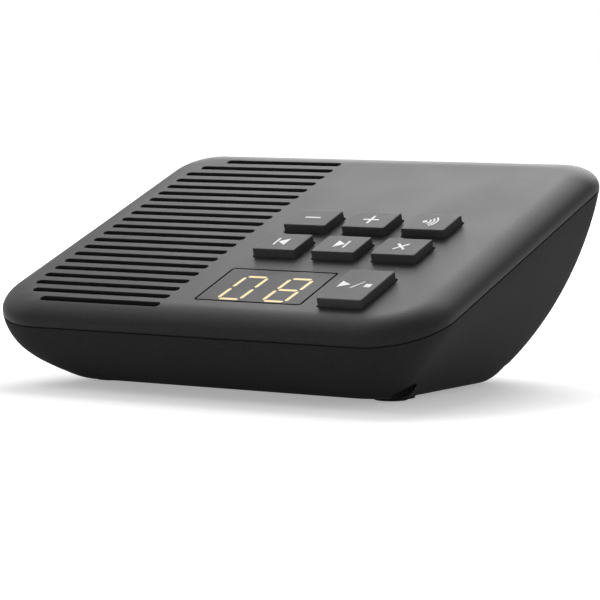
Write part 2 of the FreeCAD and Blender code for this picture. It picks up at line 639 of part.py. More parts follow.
def bar(x, y, upright):
    """One bar of a digit: a long hexagon with mitred ends, leaning with the digit."""
    half = size("segment_length") / 2 - size("segment_gap")
    thick = size("segment_width") / 2
    lean = size("digit_lean")
    if upright:
        corners = [(0, -half), (thick, -half + thick), (thick, half - thick), (0, half),
                   (-thick, half - thick), (-thick, -half + thick)]
    else:
        corners = [(-half, 0), (-half + thick, -thick), (half - thick, -thick), (half, 0),
                   (half - thick, thick), (-half + thick, thick)]
    centre_x, centre_y = size("window_x"), -size("window_y")
    top = -size("skin") - size("window_flange_thick")
    points = [Vector(centre_x + x + dx + lean * (y + dy), centre_y + y + dy, top)
              for dx, dy in corners]
    face = Part.Face(Part.makePolygon(points + [points[0]]))
    return face.extrude(Vector(0, 0, -size("segment_deep")))


def digit(x, lit):
    """The bars of one digit: top, upper left, upper right, middle, lower left, lower right, bottom."""
    step = size("segment_length")
    spots = [(0, step, False), (-step / 2, step / 2, True), (step / 2, step / 2, True), (0, 0, False),
             (-step / 2, -step / 2, True), (step / 2, -step / 2, True), (0, -step, False)]
    return [bar(x + dx, dy, upright) for (dx, dy, upright), on in zip(spots, lit) if on]


def make_display():
    half = size("digit_pitch") / 2
    all_on = [True] * 7
    zero = [True, True, True, False, True, True, True]
    middle = [not on for on in zero]
    tens = solid_feature(Part.makeCompound(digit(-half, zero)), "tens_digit")
    tens_middle = solid_feature(Part.makeCompound(digit(-half, middle)), "tens_digit_middle_bar")
    units = solid_feature(Part.makeCompound(digit(half, all_on)), "units_digit")
    for feature in (tens, tens_middle, units):
        node(on_deck(feature), feature.Name)
    sockets = [solid_feature(Part.makeCompound(digit(side, all_on)), "bar_sockets")
               for side in (-half, half)]
    body = block("module_width", "module_depth", "key_board_drop - skin - window_flange_thick",
                 "window_x", "-window_y", "-key_board_drop", "module_body")
    node(on_deck(cut(body, sockets, "display_module")), "display_module")


# Keys and their switches

STEM_UNDER = "(-key_board_drop + switch_tall + plunger_rise)"
KEY_SEAT = "(-skin - key_float)"
KEY_FLANGE_UNDER = "(-skin - key_float - key_flange_thick)"


def make_keys():
    housings = []
    for name, x, y, depth in KEYS:
        cap = slab("key_width", depth, "key_corner", KEY_SEAT, "key_rise", x, y, "key_cap")
        flange = slab("key_width + 2 * key_flange", f"{depth} + 2 * key_flange", "key_corner",
                      KEY_FLANGE_UNDER, KEY_SEAT, x, y, "key_flange_plate")
        stem = block("stem_side", "stem_side", f"{KEY_FLANGE_UNDER} - {STEM_UNDER}", x, y,
                     STEM_UNDER, "key_stem")
        node(on_deck(fuse([cap, flange, stem], name)), name)
        plunger = rod("plunger_radius", "plunger_length", x, y, f"{STEM_UNDER} - plunger_length", "plunger")
        node(on_deck(plunger), name.replace("_key", "_plunger"))
        body = block("switch_side", "switch_side", "switch_tall", x, y, "-key_board_drop", "switch_body")
        deep = "(plunger_length - plunger_rise + key_travel + plunger_spare)"
        well = rod("plunger_radius + plunger_gap", deep, x, y,
                   f"-key_board_drop + switch_tall - {deep}", "well")
        housings.append(cut(body, [well], "switch_housing"))
    node(on_deck(group(housings, "switch_housings")), "switch_housings")


def make_key_board():
    width = "(key_board_left + key_board_right)"
    depth = "(key_board_front + key_board_rear)"
    under = "(-key_board_drop - board_thick)"
    plate = block(width, depth, "board_thick", "(key_board_right - key_board_left) / 2",
                  "(key_board_rear - key_board_front) / 2", under, "key_board_plate")
    holes = [rod("small_clear", "board_thick", x, y, under, "screw_hole") for x, y in KEY_POSTS]
    node(on_deck(cut(plate, holes, "key_board")), "key_board")
    screws = []
    for x, y in KEY_POSTS:
        head = rod("small_head", "small_head_tall", x, y, f"{under} - small_head_tall", "screw_head")
        shank = rod("small_shank", "board_thick + small_bite", x, y, under, "screw_shank")
        screws.append(fuse([head, shank], "key_board_screw"))
    node(on_deck(group(screws, "key_board_screws")), "key_board_screws")


# Loudspeaker, built round its own axis

def on_speaker(thing):
    """Put an object that is built round the loudspeaker's axis into the world."""
    return place(group([thing], "on_speaker"), SLOT_MIDDLE, "-deck_setback - speaker_y * cos(deck_tilt)",
                 "deck_height - speaker_y * sin(deck_tilt)", "deck_tilt")


BASKET_WINDOW_ANGLES = range(0, 360, 60)


def make_speaker():
    skin, gasket, cloth = size("skin"), size("gasket_thick"), size("cloth_thick")
    outer, mouth, flange = size("speaker_radius"), size("speaker_mouth"), size("flange_thick")
    sheet_metal, foot, hole = size("basket_wall"), size("basket_foot"), size("basket_hole")
    flange_top = -skin - gasket
    flange_low = flange_top - flange
    foot_top = flange_low - size("basket_drop")
    foot_low = foot_top - sheet_metal
    rim = mouth + sheet_metal
    frame = turned([(mouth, flange_top), (outer, flange_top), (outer, flange_low), (rim, flange_low),
                    (foot, foot_low), (hole, foot_low), (hole, foot_top), (foot - sheet_metal, foot_top),
                    (mouth, flange_low)], "basket")
    middle = "(basket_foot + speaker_mouth) / 2"
    windows = []
    for angle in BASKET_WINDOW_ANGLES:
        windows.append(rod("basket_foot / 3", "basket_drop", f"{middle} * cos({angle})",
                           f"{middle} * sin({angle})", f"{FLANGE_UNDER} - basket_drop", "basket_window"))
    node(on_speaker(cut(frame, windows, "speaker_frame")), "speaker_frame")
    node(on_speaker(ring("speaker_radius", "speaker_mouth", "gasket_thick", z="-skin - gasket_thick",
                         name="speaker_gasket")), "speaker_gasket")
    node(on_speaker(rod("speaker_mouth - cone_edge_gap", "cloth_thick", z="-skin - cloth_thick",
                        name="dust_cloth")), "dust_cloth")
    cone_edge, neck, paper = size("cone_radius"), size("cone_neck"), size("cone_thick")
    tube = neck - size("coil_wall")
    edge_top = flange_top - size("cone_travel")
    neck_top = edge_top - size("cone_drop")
    cap_top = neck_top + size("cone_drop") / 2
    node(on_speaker(turned([(cone_edge, edge_top), (cone_edge, edge_top - paper), (neck, neck_top - paper),
                            (tube, neck_top - paper), (tube, neck_top),
                            (neck / 2, cap_top - paper), (0, cap_top), (0, cap_top + paper),
                            (neck / 2, cap_top), (neck, neck_top + paper)], "speaker_cone")), "speaker_cone")
    inside, roll, foam = cone_edge + size("cone_edge_gap"), size("surround_rise"), size("surround_thick")
    low = edge_top - paper
    quarter = (mouth - inside) / 4
    node(on_speaker(turned([(inside, low), (mouth, low), (mouth, low + foam),
                            (mouth - quarter, low + foam + roll), (inside + quarter, low + foam + roll),
                            (inside, low + foam)], "speaker_surround")), "speaker_surround")
    coil_low = neck_top - paper - size("coil_length")
    coil = turned([(tube, coil_low), (neck, coil_low), (neck, neck_top - paper),
                   (tube, neck_top - paper)], "voice_coil")
    node(on_speaker(coil), "voice_coil")
    gap, plate, magnet = size("coil_gap"), size("plate_thick"), size("magnet_tall")
    plates = size("plate_radius")
    pole = tube - gap
    front_low = foot_low - plate
    back_top = front_low - magnet
    back_low = back_top - plate
    node(on_speaker(turned([(neck + gap, foot_low), (plates, foot_low), (plates, front_low),
                            (neck + gap, front_low)], "front_plate")), "speaker_front_plate")
    node(on_speaker(turned([(0, back_low), (plates, back_low), (plates, back_top), (pole, back_top),
                            (pole, foot_low), (0, foot_low)], "speaker_yoke")), "speaker_yoke")
    node(on_speaker(turned([(neck + 2 * gap, back_top), (size("magnet_radius"), back_top),
                            (size("magnet_radius"), front_low), (neck + 2 * gap, front_low)],
                           "speaker_magnet")), "speaker_magnet")
    screws = []
    for x, y in speaker_post_places():
        head = rod("clamp_head", "clamp_head_tall", x, y, f"{FLANGE_UNDER} - clamp_head_tall",
                   "clamp_head_disc")
        shank = rod("small_shank", f"-{FLANGE_UNDER} - skin", x, y, FLANGE_UNDER, "clamp_shank")
        screws.append(fuse([head, shank], "speaker_screw"))
    node(on_deck(group(screws, "speaker_screws")), "speaker_screws")


TAG_TOP = "(-skin - gasket_thick - flange_thick - basket_drop - basket_wall)"
TAG_X = f"({SLOT_MIDDLE} + plate_radius + tag_width / 2)"


def make_speaker_wiring():
    tag = block("tag_width", "tag_deep", "tag_thick", TAG_X, "-speaker_y", f"{TAG_TOP} - tag_thick",
                "speaker_tag")
    node(on_deck(tag), "speaker_tag")
    wires = []
    for side in (-0.5, 0.5):
        y = f"-speaker_y + {side} * wire_pitch"
        world_y = f"-deck_setback + ({y}) * cos(deck_tilt) - ({TAG_TOP} - tag_thick) * sin(deck_tilt)"
        wire = rod("wire_radius", "deck_height - floor_height - wall", f"{TAG_X} + tag_width / 4",
                   world_y, MAIN_TOP, "wire")
        above = on_deck(block("2 * tag_width", "deck_depth", "deck_height", TAG_X, "-speaker_y",
                              f"{TAG_TOP} - tag_thick", "above_tag"))
        wires.append(cut(wire, [above], "speaker_wire"))
    node(group(wires, "speaker_wires"), "speaker_wires")


# Main board and what it carries

def make_main_board():
    width = "(main_board_left + main_board_right)"
    depth = "(main_board_front + alcove_panel)"
    plate = block(width, depth, "board_thick", "(main_board_right - main_board_left) / 2",
                  "(alcove_panel - main_board_front) / 2", MAIN_UNDER, "main_board_plate")
    holes = [rod("small_clear", "board_thick", x, y, MAIN_UNDER, "screw_hole") for x, y in MAIN_POSTS]
    node(cut(plate, holes, "main_board"), "main_board")
    screws = []
    for x, y in MAIN_POSTS:
        head = rod("small_head", "small_head_tall", x, y, MAIN_TOP, "screw_head")
        shank = rod("small_shank", "board_thick + small_bite", x, y, f"{MAIN_UNDER} - small_bite",
                    "screw_shank")
        screws.append(fuse([head, shank], "main_board_screw"))
    node(group(screws, "main_board_screws"), "main_board_screws")


def make_connectors():
    line = block("line_width", "line_deep", "line_tall", "line_x", "alcove_panel - line_deep / 2",
                 MAIN_TOP, "line_body")
    mouth = block("line_mouth_width", "line_mouth_deep", "line_mouth_tall", "line_x",
                  "alcove_panel - line_mouth_deep / 2",
                  f"{MAIN_TOP} + (line_tall - line_mouth_tall) / 2", "line_mouth")
    node(cut(line, [mouth], "line_socket"), "line_socket")
    body = block("inlet_width", "inlet_deep", "inlet_tall", "-inlet_x", "alcove_panel - inlet_deep / 2",
                 MAIN_TOP, "inlet_body")
    axis = f"{MAIN_TOP} + inlet_tall / 2"
    bore = place(rod("inlet_bore", "inlet_bore_deep", name="bore"), "-inlet_x", "alcove_panel", axis, "90")
    node(cut(body, [bore], "power_inlet"), "power_inlet")
    pin = rod("inlet_pin", "inlet_pin_length", name="inlet_pin")
    place(pin, "-inlet_x", "alcove_panel - inlet_bore_deep + inlet_pin_length", axis, "90")
    node(pin, "inlet_centre_pin")


def make_components():
    can = block("can_width", "can_deep", "can_tall", "can_x", "-can_y", MAIN_TOP, "can_outside")
    room = block("can_width - 2 * can_wall", "can_deep - 2 * can_wall", "can_tall - can_wall", "can_x",
                 "-can_y", MAIN_TOP, "can_inside")
    node(cut(can, [room], "radio_shield"), "radio_shield")
    chip = block("chip_side", "chip_side", "chip_tall", "-chip_x", "-chip_y", MAIN_TOP, "chip")
    node(chip, "processor_chip")
    pair = [rod("capacitor_radius", "capacitor_tall", f"-capacitor_x + {index} * capacitor_step",
                "capacitor_y", MAIN_TOP, "capacitor") for index in range(2)]
    node(group(pair, "capacitors"), "capacitors")


def make_flat_cable():
    low = block("header_width", "header_deep", "header_tall", "-header_x", "cable_y", MAIN_TOP,
                "low_header")
    node(low, "main_board_header")
    under = "(-key_board_drop - board_thick)"
    header_y = f"(cable_y + deck_setback + ({under} - header_tall) * sin(deck_tilt)) / cos(deck_tilt)"
    high = block("header_width", "header_deep", "header_tall", "-header_x", header_y,
                 f"{under} - header_tall", "high_header")
    node(on_deck(high), "key_board_header")
    strip = block("cable_width", "cable_thick", "deck_height", "-header_x", "cable_y",
                  f"{MAIN_TOP} + header_tall", "strip")
    above = block("2 * header_width", "deck_depth", "deck_height", "-header_x", header_y,
                  f"{under} - header_tall", "above_header")
    node(cut(strip, [on_deck(above)], "flat_cable"), "flat_cable")


def make_case_screws():
    screws = []
    for x, y, joint in BOSSES:
        under = f"{joint} - shelf"
        head = rod("case_screw_head", "case_screw_head_tall", x, y, f"{under} - case_screw_head_tall",
                   "head")
        shank = rod("case_screw_shank", "shelf + case_screw_bite", x, y, under, "shank")
        screws.append(fuse([head, shank], "case_screw"))
    node(group(screws, "case_screws"), "case_screws")


make_cover()
make_tray()
make_window()
make_display()
make_keys()
make_key_board()
make_speaker()
make_speaker_wiring()
make_main_board()
make_connectors()
make_components()
make_flat_cable()
make_case_screws()
doc.recompute()

failed = [thing.Name for thing in doc.Objects if {"Invalid", "Error"} & set(thing.State)]
if failed:
    raise RuntimeError("objects that failed: " + ", ".join(failed))
box = FreeCAD.BoundBox()
for thing in nodes:
    shape = thing.Shape
    if shape.isNull() or not shape.isValid() or not shape.Solids:
        raise RuntimeError("bad shape: " + thing.Label)
    box.add(shape.BoundBox)
for thing in nodes:
    solids = thing.Shape.Solids
    shape = solids[0] if len(solids) == 1 else Part.makeCompound(solids)
    shape.exportStep(os.path.join("parts", thing.Label + ".step"))
    print(f"{thing.Label:24} {len(thing.Shape.Solids):2} solids {thing.Shape.Volume:10.1f} mm3")
print("box", [round(value, 2) for value in (box.XMin, box.YMin, box.ZMin, box.XMax, box.YMax, box.ZMax)])
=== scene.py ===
"""Desktop telephone answering machine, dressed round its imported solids.

Lengths are in millimetres until a mesh is made, and then in metres. Deck coordinates are across the
sloping top, up the slope, and off the surface, with the origin in the middle of the deck.
"""
import json
import math

import bmesh
import bpy
import numpy as np
from mathutils import Matrix, Vector
from mathutils.geometry import delaunay_2d_cdt


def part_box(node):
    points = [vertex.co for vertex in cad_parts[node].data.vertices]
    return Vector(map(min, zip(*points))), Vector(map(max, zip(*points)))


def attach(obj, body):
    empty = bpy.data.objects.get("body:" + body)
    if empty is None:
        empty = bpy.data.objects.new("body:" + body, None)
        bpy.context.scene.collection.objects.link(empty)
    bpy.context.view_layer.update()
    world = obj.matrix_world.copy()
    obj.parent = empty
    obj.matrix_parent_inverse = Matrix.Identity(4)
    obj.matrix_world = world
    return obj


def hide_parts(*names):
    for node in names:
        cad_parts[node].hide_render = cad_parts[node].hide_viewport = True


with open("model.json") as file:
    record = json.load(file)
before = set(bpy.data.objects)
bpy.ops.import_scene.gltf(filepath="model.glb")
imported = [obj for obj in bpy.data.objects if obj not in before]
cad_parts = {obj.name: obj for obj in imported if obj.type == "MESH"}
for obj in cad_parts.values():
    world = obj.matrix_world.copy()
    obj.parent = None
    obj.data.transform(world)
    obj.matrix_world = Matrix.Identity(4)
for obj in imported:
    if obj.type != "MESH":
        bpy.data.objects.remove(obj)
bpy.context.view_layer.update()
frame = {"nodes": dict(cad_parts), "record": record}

MM = 0.001
HALF_TURN = math.pi
QUARTER = math.pi / 2

# The case: a deck that slopes down to the front, and a bowl below it
TILT = math.radians(20.5)
DECK_SETBACK = 1.45
DECK_HEIGHT = 34.3
CASE_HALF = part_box("top_cover")[1].x / MM
DECK_HALF = 47.1
FRONT_CORNER = 15.7
REAR_CORNER = 11.5
ROLL_WIDTH = 7.0
ROLL_DEPTH = 4.2
SEAM_DEPTH = 4.5
SKIN = 2.0
WALL = 2.2
LIP_RISE = 1.5
LIP_GAP = 0.15
LIP_THICK = 0.9
SEAM_GAP = 0.2
SEAM_GROOVE = 0.45
SEAM_EDGE = 0.16
FLOOR_HALF = 43.0
FLOOR_FRONT = 30.8
FLOOR_REAR = 23.0
FLOOR_HEIGHT = 0.9
FLOOR_FRONT_CORNER = 9.0
FLOOR_REAR_CORNER = 14.0
SIDE_BULGE = 1.31
FRONT_BULGE = 3.3
REAR_BULGE = 2.77
CASE_ARC_STEPS = 16
CASE_SIDE_STEPS = 18
BELOW_FLOOR = -1.0

# Sound slots
SLOT_PITCH = 4.0
SLOT_WIDTH = 1.92
SLOT_COUNT = 21
SLOT_RIGHT = -10.36
SLOT_LEFT = -CASE_HALF + 8.2
SLOT_FIRST = DECK_HALF - 8.2
SLOT_FIELD_CORNER = 12.0
SLOT_CORNER = 0.85

# Where the deck's flat sheet begins, as a shift outwards from its outline. It reaches over the start
# of the roll, because the last slot does.
SHEET_INSET = -4.4

# Keys, as column, row and depth
KEY_WIDTH = 11.2
KEY_DEPTH = 8.64
PLAY_KEY_DEPTH = 15.1
KEY_RISE = 1.95
KEY_GAP = 0.35
KEY_CORNER = 0.4
KEY_EDGE = 0.22
KEY_SEAT = -SKIN - 0.05
KEY_FLANGE = 0.8
KEY_FLANGE_THICK = 1.0
# How far the underside of a key or of the window reaches in, where a flat face closes it
UNDERSIDE = -0.5
STEM_SIDE = 5.0
STEM_CORNER = 0.3
STEM_UNDER = -3.7
COLUMNS = (3.4, 18.88, 34.36)
ROWS = (3.57, -10.11, -30.34)
KEYS = {
    "minus": (COLUMNS[0], ROWS[0], KEY_DEPTH),
    "plus": (COLUMNS[1], ROWS[0], KEY_DEPTH),
    "paging": (COLUMNS[2], ROWS[0], KEY_DEPTH),
    "previous": (COLUMNS[0], ROWS[1], KEY_DEPTH),
    "next": (COLUMNS[1], ROWS[1], KEY_DEPTH),
    "delete": (COLUMNS[2], ROWS[1], KEY_DEPTH),
    "play_stop": (COLUMNS[2], ROWS[2], PLAY_KEY_DEPTH),
}

# Display window
WINDOW_X = 10.41
WINDOW_Y = -29.4
WINDOW_WIDTH = 27.26
WINDOW_DEPTH = 16.37
WINDOW_GAP = 0.3
WINDOW_CORNER = 0.5
WINDOW_EDGE = 0.04
WINDOW_FLANGE = 1.2
WINDOW_THICK = 2.9

# Digits, and where their light falls on the window
DIGIT_PITCH = 11.7
DIGIT_REACH = 5.75
DIGIT_BAR_HALF = 2.5
DIGIT_BAR_WIDTH = 0.85
DIGIT_LEAN = 0.05
DIGITS_X = WINDOW_X + 0.75
DIGITS_Y = WINDOW_Y - 1.4

# Columns, posts, feet and bores
BOSS_RADIUS = 4.3
COVER_BOSS_RADIUS = 2.7
BOSSES = ((43.9, -26.5, 13.0), (-43.9, -26.5, 13.0), (42.0, 18.0, 27.0), (-42.0, 18.0, 27.0))
BORE_RADIUS = 2.9
SHELF = 3.0
SCREW_HOLE = 1.6
FEET = {
    "foot_front_left": (-37.3, -20.65),
    "foot_front_right": (37.3, -20.65),
    "foot_rear_left": (-33.3, 17.0),
    "foot_rear_right": (33.3, 17.0),
}
FOOT_RADIUS = 3.8
FOOT_RIM = 1.5
FOOT_RIM_LOW = 0.5
FOOT_TOP = 1.5
FOOT_ROOM = 0.1
ALCOVE_LEFT = -26.0
ALCOVE_RIGHT = 22.0
ALCOVE_LOW = 6.5
ALCOVE_HIGH = 21.5
ALCOVE_WALL = 2.0
ALCOVE_CORNER = 1.5
PANEL_INSIDE = 20.0
BOARD_TOP = 8.6
LINE_X = 10.5
LINE_MOUTH_WIDTH = 9.8
LINE_MOUTH_TALL = 7.4
LINE_TALL = 11.5
INLET_X = -15.5
INLET_TALL = 11.0
SOCKET_GAP = 0.4
INLET_HOLE_RADIUS = 4.45


# Points and surfaces

def on_deck(points):
    """Deck coordinates in millimetres to metres in the world: a turn by the tilt about X, then a
    shift to the middle of the deck."""
    across, along, above = np.moveaxis(np.asarray(points, float), -1, 0)
    y = along * math.cos(TILT) - above * math.sin(TILT) - DECK_SETBACK
    z = along * math.sin(TILT) + above * math.cos(TILT) + DECK_HEIGHT
    return np.stack((across, y, z), -1) * MM


def upright(points):
    """World coordinates in millimetres to metres."""
    return np.asarray(points, float) * MM


def rounded_rectangle(half, front, rear, front_radius, rear_radius, arc_steps=10, side_steps=1):
    """Outlines of four straight sides and four quarter circles, counter-clockwise, one for each row
    of the sizes given. A corner's points are its centre plus its radius times (cos a, sin a); a
    side's points go evenly from one corner to the next. Returns the points and their outward
    directions."""
    half, front, rear, front_radius, rear_radius = (
        np.reshape(value, (-1, 1)) * np.ones((1, 1))
        for value in (half, front, rear, front_radius, rear_radius))
    turn = np.linspace(0, QUARTER, arc_steps + 1)
    corners = (
        (half - front_radius, front + front_radius, front_radius, -QUARTER),
        (half - rear_radius, rear - rear_radius, rear_radius, 0.0),
        (rear_radius - half, rear - rear_radius, rear_radius, QUARTER),
        (front_radius - half, front + front_radius, front_radius, HALF_TURN))
    arcs = [np.stack((x + radius * np.cos(start + turn), y + radius * np.sin(start + turn)), -1)
            for x, y, radius, start in corners]
    share = (np.arange(1, side_steps) / side_steps)[None, :, None]
    points = []
    directions = []
    for index, arc in enumerate(arcs):
        following = arcs[(index + 1) % len(arcs)]
        points += [arc, arc[:, -1:] * (1 - share) + following[:, :1] * share]
        angles = corners[index][3] + np.append(turn, np.full(side_steps - 1, QUARTER))
        directions.append(np.stack((np.cos(angles), np.sin(angles)), -1))
    rows = max(len(part) for part in points)
    points = [np.broadcast_to(part, (rows,) + part.shape[1:]) for part in points]
    return np.concatenate(points, 1), np.concatenate(directions)


def plate_outline(width, depth, corner, x=0.0, y=0.0, arc_steps=5):
    """Rounded rectangle of one width and depth, with its middle at x and y."""
    points, directions = rounded_rectangle(width / 2, -depth / 2, depth / 2, corner, corner, arc_steps)
    return points[0] + (x, y), directions


def circle(radius, x=0.0, y=0.0, steps=48):
    """Points of a circle, counter-clockwise, and their outward directions."""
    angle = np.arange(steps) * 2 * HALF_TURN / steps
    directions = np.stack((np.cos(angle), np.sin(angle)), -1)
    return directions * radius + (x, y), directions


def swept(outline, profile):
    """Loops of a profile carried round an outline: each profile row is a shift outwards and a
    height, and its loop is the outline plus the shift times the outward direction."""
    points, directions = outline
    shift, height = np.asarray(profile, float).T
    flat = points[None] + shift[:, None, None] * directions[None]
    tall = np.broadcast_to(height[:, None, None], flat.shape[:2] + (1,))
    return np.concatenate((flat, tall), -1)


def rings(loops):
    """Surface through closed loops of equally many points: quad (i, j) joins point j of loop i to
    point j + 1 and to the same two points of loop i + 1."""
    levels, count = loops.shape[:2]
    i, j = np.meshgrid(np.arange(levels - 1), np.arange(count), indexing="ij")
    k = (j + 1) % count
    quads = np.stack((i * count + j, i * count + k, (i + 1) * count + k, (i + 1) * count + j), -1)
    return loops.reshape(-1, 3), quads.reshape(-1, 4).tolist()


def cap(loop):
    """One flat face inside a loop."""
    return loop, [list(range(len(loop)))]


def tube(loops):
    """Closed solid through loops: their surface, with a flat face on the first and the last."""
    return [rings(loops), cap(loops[0]), cap(loops[-1])]


def upward(flat, low, high):
    """Closed solid that carries a flat outline from one height to another."""
    return tube(np.stack([np.column_stack((flat, np.full(len(flat), z))) for z in (low, high)]))


def rearward(flat, near, far):
    """Closed solid that carries an upright outline, given as across and height, along Y."""
    return tube(np.stack([np.column_stack((flat[:, 0], np.full(len(flat), y), flat[:, 1]))
                          for y in (near, far)]))


def flat_sheet(outer, holes, height, inner=()):
    """Flat face at one height between an outer loop and the loops of its holes, cut into
    triangles, with some more points inside."""
    loops = [outer] + holes
    points = np.concatenate(loops + list(inner))
    ends = np.cumsum([len(loop) for loop in loops])
    faces = [list(range(end - len(loop), end)) for loop, end in zip(loops, ends)]
    inside_without_holes = 2
    found, _, triangles, *_ = delaunay_2d_cdt(points.tolist(), [], faces, inside_without_holes, 1e-6)
    flat = np.array([tuple(point) for point in found])
    return np.column_stack((flat, np.full(len(flat), height))), [list(face) for face in triangles]


def arc_profile(shift, height, radius, start, finish, steps=5):
    """Rows of a quarter circle in a profile, from one angle to another, round a centre."""
    angle = np.linspace(start, finish, steps)
    return np.column_stack((shift + radius * np.cos(angle), height + radius * np.sin(angle)))


# Meshes

def mesh_object(name, surfaces, place=upright):
    """One mesh from surfaces given as points and faces, put in place: touching points are merged and
    the faces are turned outwards."""
    points = []
    faces = []
    count = 0
    for surface_points, surface_faces in surfaces:
        points.append(place(surface_points))
        faces += [[corner + count for corner in face] for face in surface_faces]
        count += len(surface_points)
    mesh = bpy.data.meshes.new(name)
    mesh.from_pydata(np.concatenate(points).tolist(), [], faces)
    work = bmesh.new()
    work.from_mesh(mesh)
    touching = 2e-6
    bmesh.ops.remove_doubles(work, verts=work.verts, dist=touching)
    bmesh.ops.recalc_face_normals(work, faces=work.faces)
    work.to_mesh(mesh)
    work.free()
    made = bpy.data.objects.new(name, mesh)
    bpy.context.scene.collection.objects.link(made)
    return made


def shade(piece, angle=32):
    """Smooth shading, with edges sharper than the angle, in degrees, left sharp."""
    piece.data.shade_smooth()
    piece.data.set_sharp_from_angle(angle=math.radians(angle))
    return piece


def combine(piece, tool, operation):
    """Cut, join or keep the common part of two closed meshes; the tool's object is used up."""
    modifier = piece.modifiers.new("combine", "BOOLEAN")
    modifier.operation = operation
    modifier.solver = "EXACT"
    modifier.object = tool
    bpy.context.view_layer.update()
    evaluated = piece.evaluated_get(bpy.context.evaluated_depsgraph_get())
    result = bpy.data.meshes.new_from_object(evaluated)
    piece.modifiers.clear()
    piece.data = result
    bpy.data.objects.remove(tool)
    return piece


def dress(piece, material, body, *replaced, slot=None):
    """Give a piece its material, its body and the solids it stands for. The slot is not used."""
    piece.data.materials.clear()
    piece.data.materials.append(material)
    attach(piece, body)
    if replaced:
        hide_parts(*replaced)
    return piece


# Materials

def linear(colour):
    """sRGB hex to linear RGBA: each channel below 0.04045 is divided by 12.92, and one above is
    raised to 2.4 after a shift and a scale."""
    channels = np.array([int(colour[i:i + 2], 16) for i in (1, 3, 5)]) / 255
    low = channels / 12.92
    high = ((channels + 0.055) / 1.055) ** 2.4
    return (*np.where(channels <= 0.04045, low, high).tolist(), 1.0)


def add(tree, kind, inputs, output=0, **settings):
    """Add one node with its own settings, and give each of its sockets a value or a link. Returns
    one of its outputs."""
    made = tree.nodes.new("ShaderNode" + kind)
    for name, value in settings.items():
        setattr(made, name, value)
    for socket, value in inputs.items():
        if isinstance(value, bpy.types.NodeSocket):
            tree.links.new(value, made.inputs[socket])
        else:
            made.inputs[socket].default_value = value
    return made.outputs[output] if made.outputs else None


def new_material(name):
    """Material with an empty tree, and its object coordinates."""
    material = bpy.data.materials.new(name)
    material.use_nodes = True
    tree = material.node_tree
    tree.nodes.clear()
    return material, tree, add(tree, "TexCoord", {}, "Object")


def moulded(name, dark, light, roughness, specular=0.5, grain_mm=0.35, relief_mm=0.006, index=1.5):
    """Plastic moulded in a spark-eroded tool: its colour hardly varies, a fine grain breaks up the
    highlights, and its gloss differs a little in patches 18 mm across. The real grain is near 0.1 mm,
    and it is drawn at grain_mm, because a finer one doesn't show."""
    material, tree, place = new_material(name)
    grain = add(tree, "TexNoise", {"Vector": place, "Scale": 1 / (grain_mm * MM), "Detail": 3.0,
                                   "Roughness": 0.6})
    cloud = add(tree, "TexNoise", {"Vector": place, "Scale": 1 / (18.0 * MM)})
    shade_of_grain = add(tree, "MapRange", {"Value": grain, "From Min": 0.3, "From Max": 0.7})
    colour = add(tree, "Mix", {0: shade_of_grain, 6: linear(dark), 7: linear(light)}, 2, data_type="RGBA")
    rough = add(tree, "MapRange", {"Value": cloud, "From Min": 0.3, "From Max": 0.7,
                                   "To Min": roughness - 0.02, "To Max": roughness + 0.02})
    relief = add(tree, "Bump", {"Height": grain, "Distance": relief_mm * MM})
    shader = add(tree, "BsdfPrincipled", {"Base Color": colour, "Roughness": rough, "Normal": relief,
                                          "Specular IOR Level": specular, "IOR": index})
    add(tree, "OutputMaterial", {"Surface": shader})
    return material


def lit_light_guide(colour, strength):
    """Light guide over a warm lamp: it glows evenly, a little dimmer in places 1.5 mm across."""
    material, tree, place = new_material("lit_light_guide")
    cloud = add(tree, "TexNoise", {"Vector": place, "Scale": 1 / (1.5 * MM)})
    level = add(tree, "MapRange", {"Value": cloud, "From Min": 0.3, "From Max": 0.7,
                                   "To Min": 0.92 * strength, "To Max": strength})
    shader = add(tree, "BsdfPrincipled", {"Base Color": linear("#15140f"), "Roughness": 0.5,
                                          "Emission Color": linear(colour), "Emission Strength": level})
    add(tree, "OutputMaterial", {"Surface": shader})
    return material


def rolled_metal(name, dark, light, roughness):
    """Rolled and plated metal: its grey and its gloss vary in fine lines along the rolling direction,
    3 mm apart and drawn out twelve times."""
    material, tree, place = new_material(name)
    along = add(tree, "Mapping", {"Vector": place, "Scale": (1.0, 12.0, 12.0)})
    lines = add(tree, "TexNoise", {"Vector": along, "Scale": 1 / (3.0 * MM), "Detail": 3.0,
                                   "Roughness": 0.6})
    colour = add(tree, "Mix", {0: lines, 6: linear(dark), 7: linear(light)}, 2, data_type="RGBA")
    rough = add(tree, "MapRange", {"Value": lines, "From Min": 0.3, "From Max": 0.7,
                                   "To Min": roughness - 0.08, "To Max": roughness + 0.08})
    relief = add(tree, "Bump", {"Height": lines, "Distance": 0.004 * MM})
    shader = add(tree, "BsdfPrincipled", {"Metallic": 1.0, "Base Color": colour, "Roughness": rough,
                                          "Normal": relief})
    add(tree, "OutputMaterial", {"Surface": shader})
    return material


def solder_masked_laminate():
    """Glass-fibre laminate under green solder mask: copper tracks 9 mm apart show lighter and stand
    a little proud, and the mask is glossy."""
    material, tree, place = new_material("solder_masked_laminate")
    pattern = {"Vector": place, "Scale": 1 / (9.0 * MM), "Mortar Size": 0.03,
               "Color1": linear("#0d3d22"), "Color2": linear("#10452a"), "Mortar": linear("#1d6a3d")}
    colour = add(tree, "TexBrick", pattern)
    tracks = add(tree, "TexBrick", pattern, "Fac")
    relief = add(tree, "Bump", {"Height": tracks, "Distance": 0.03 * MM})
    shader = add(tree, "BsdfPrincipled", {"Base Color": colour, "Roughness": 0.28, "Normal": relief})
    add(tree, "OutputMaterial", {"Surface": shader})
    return material


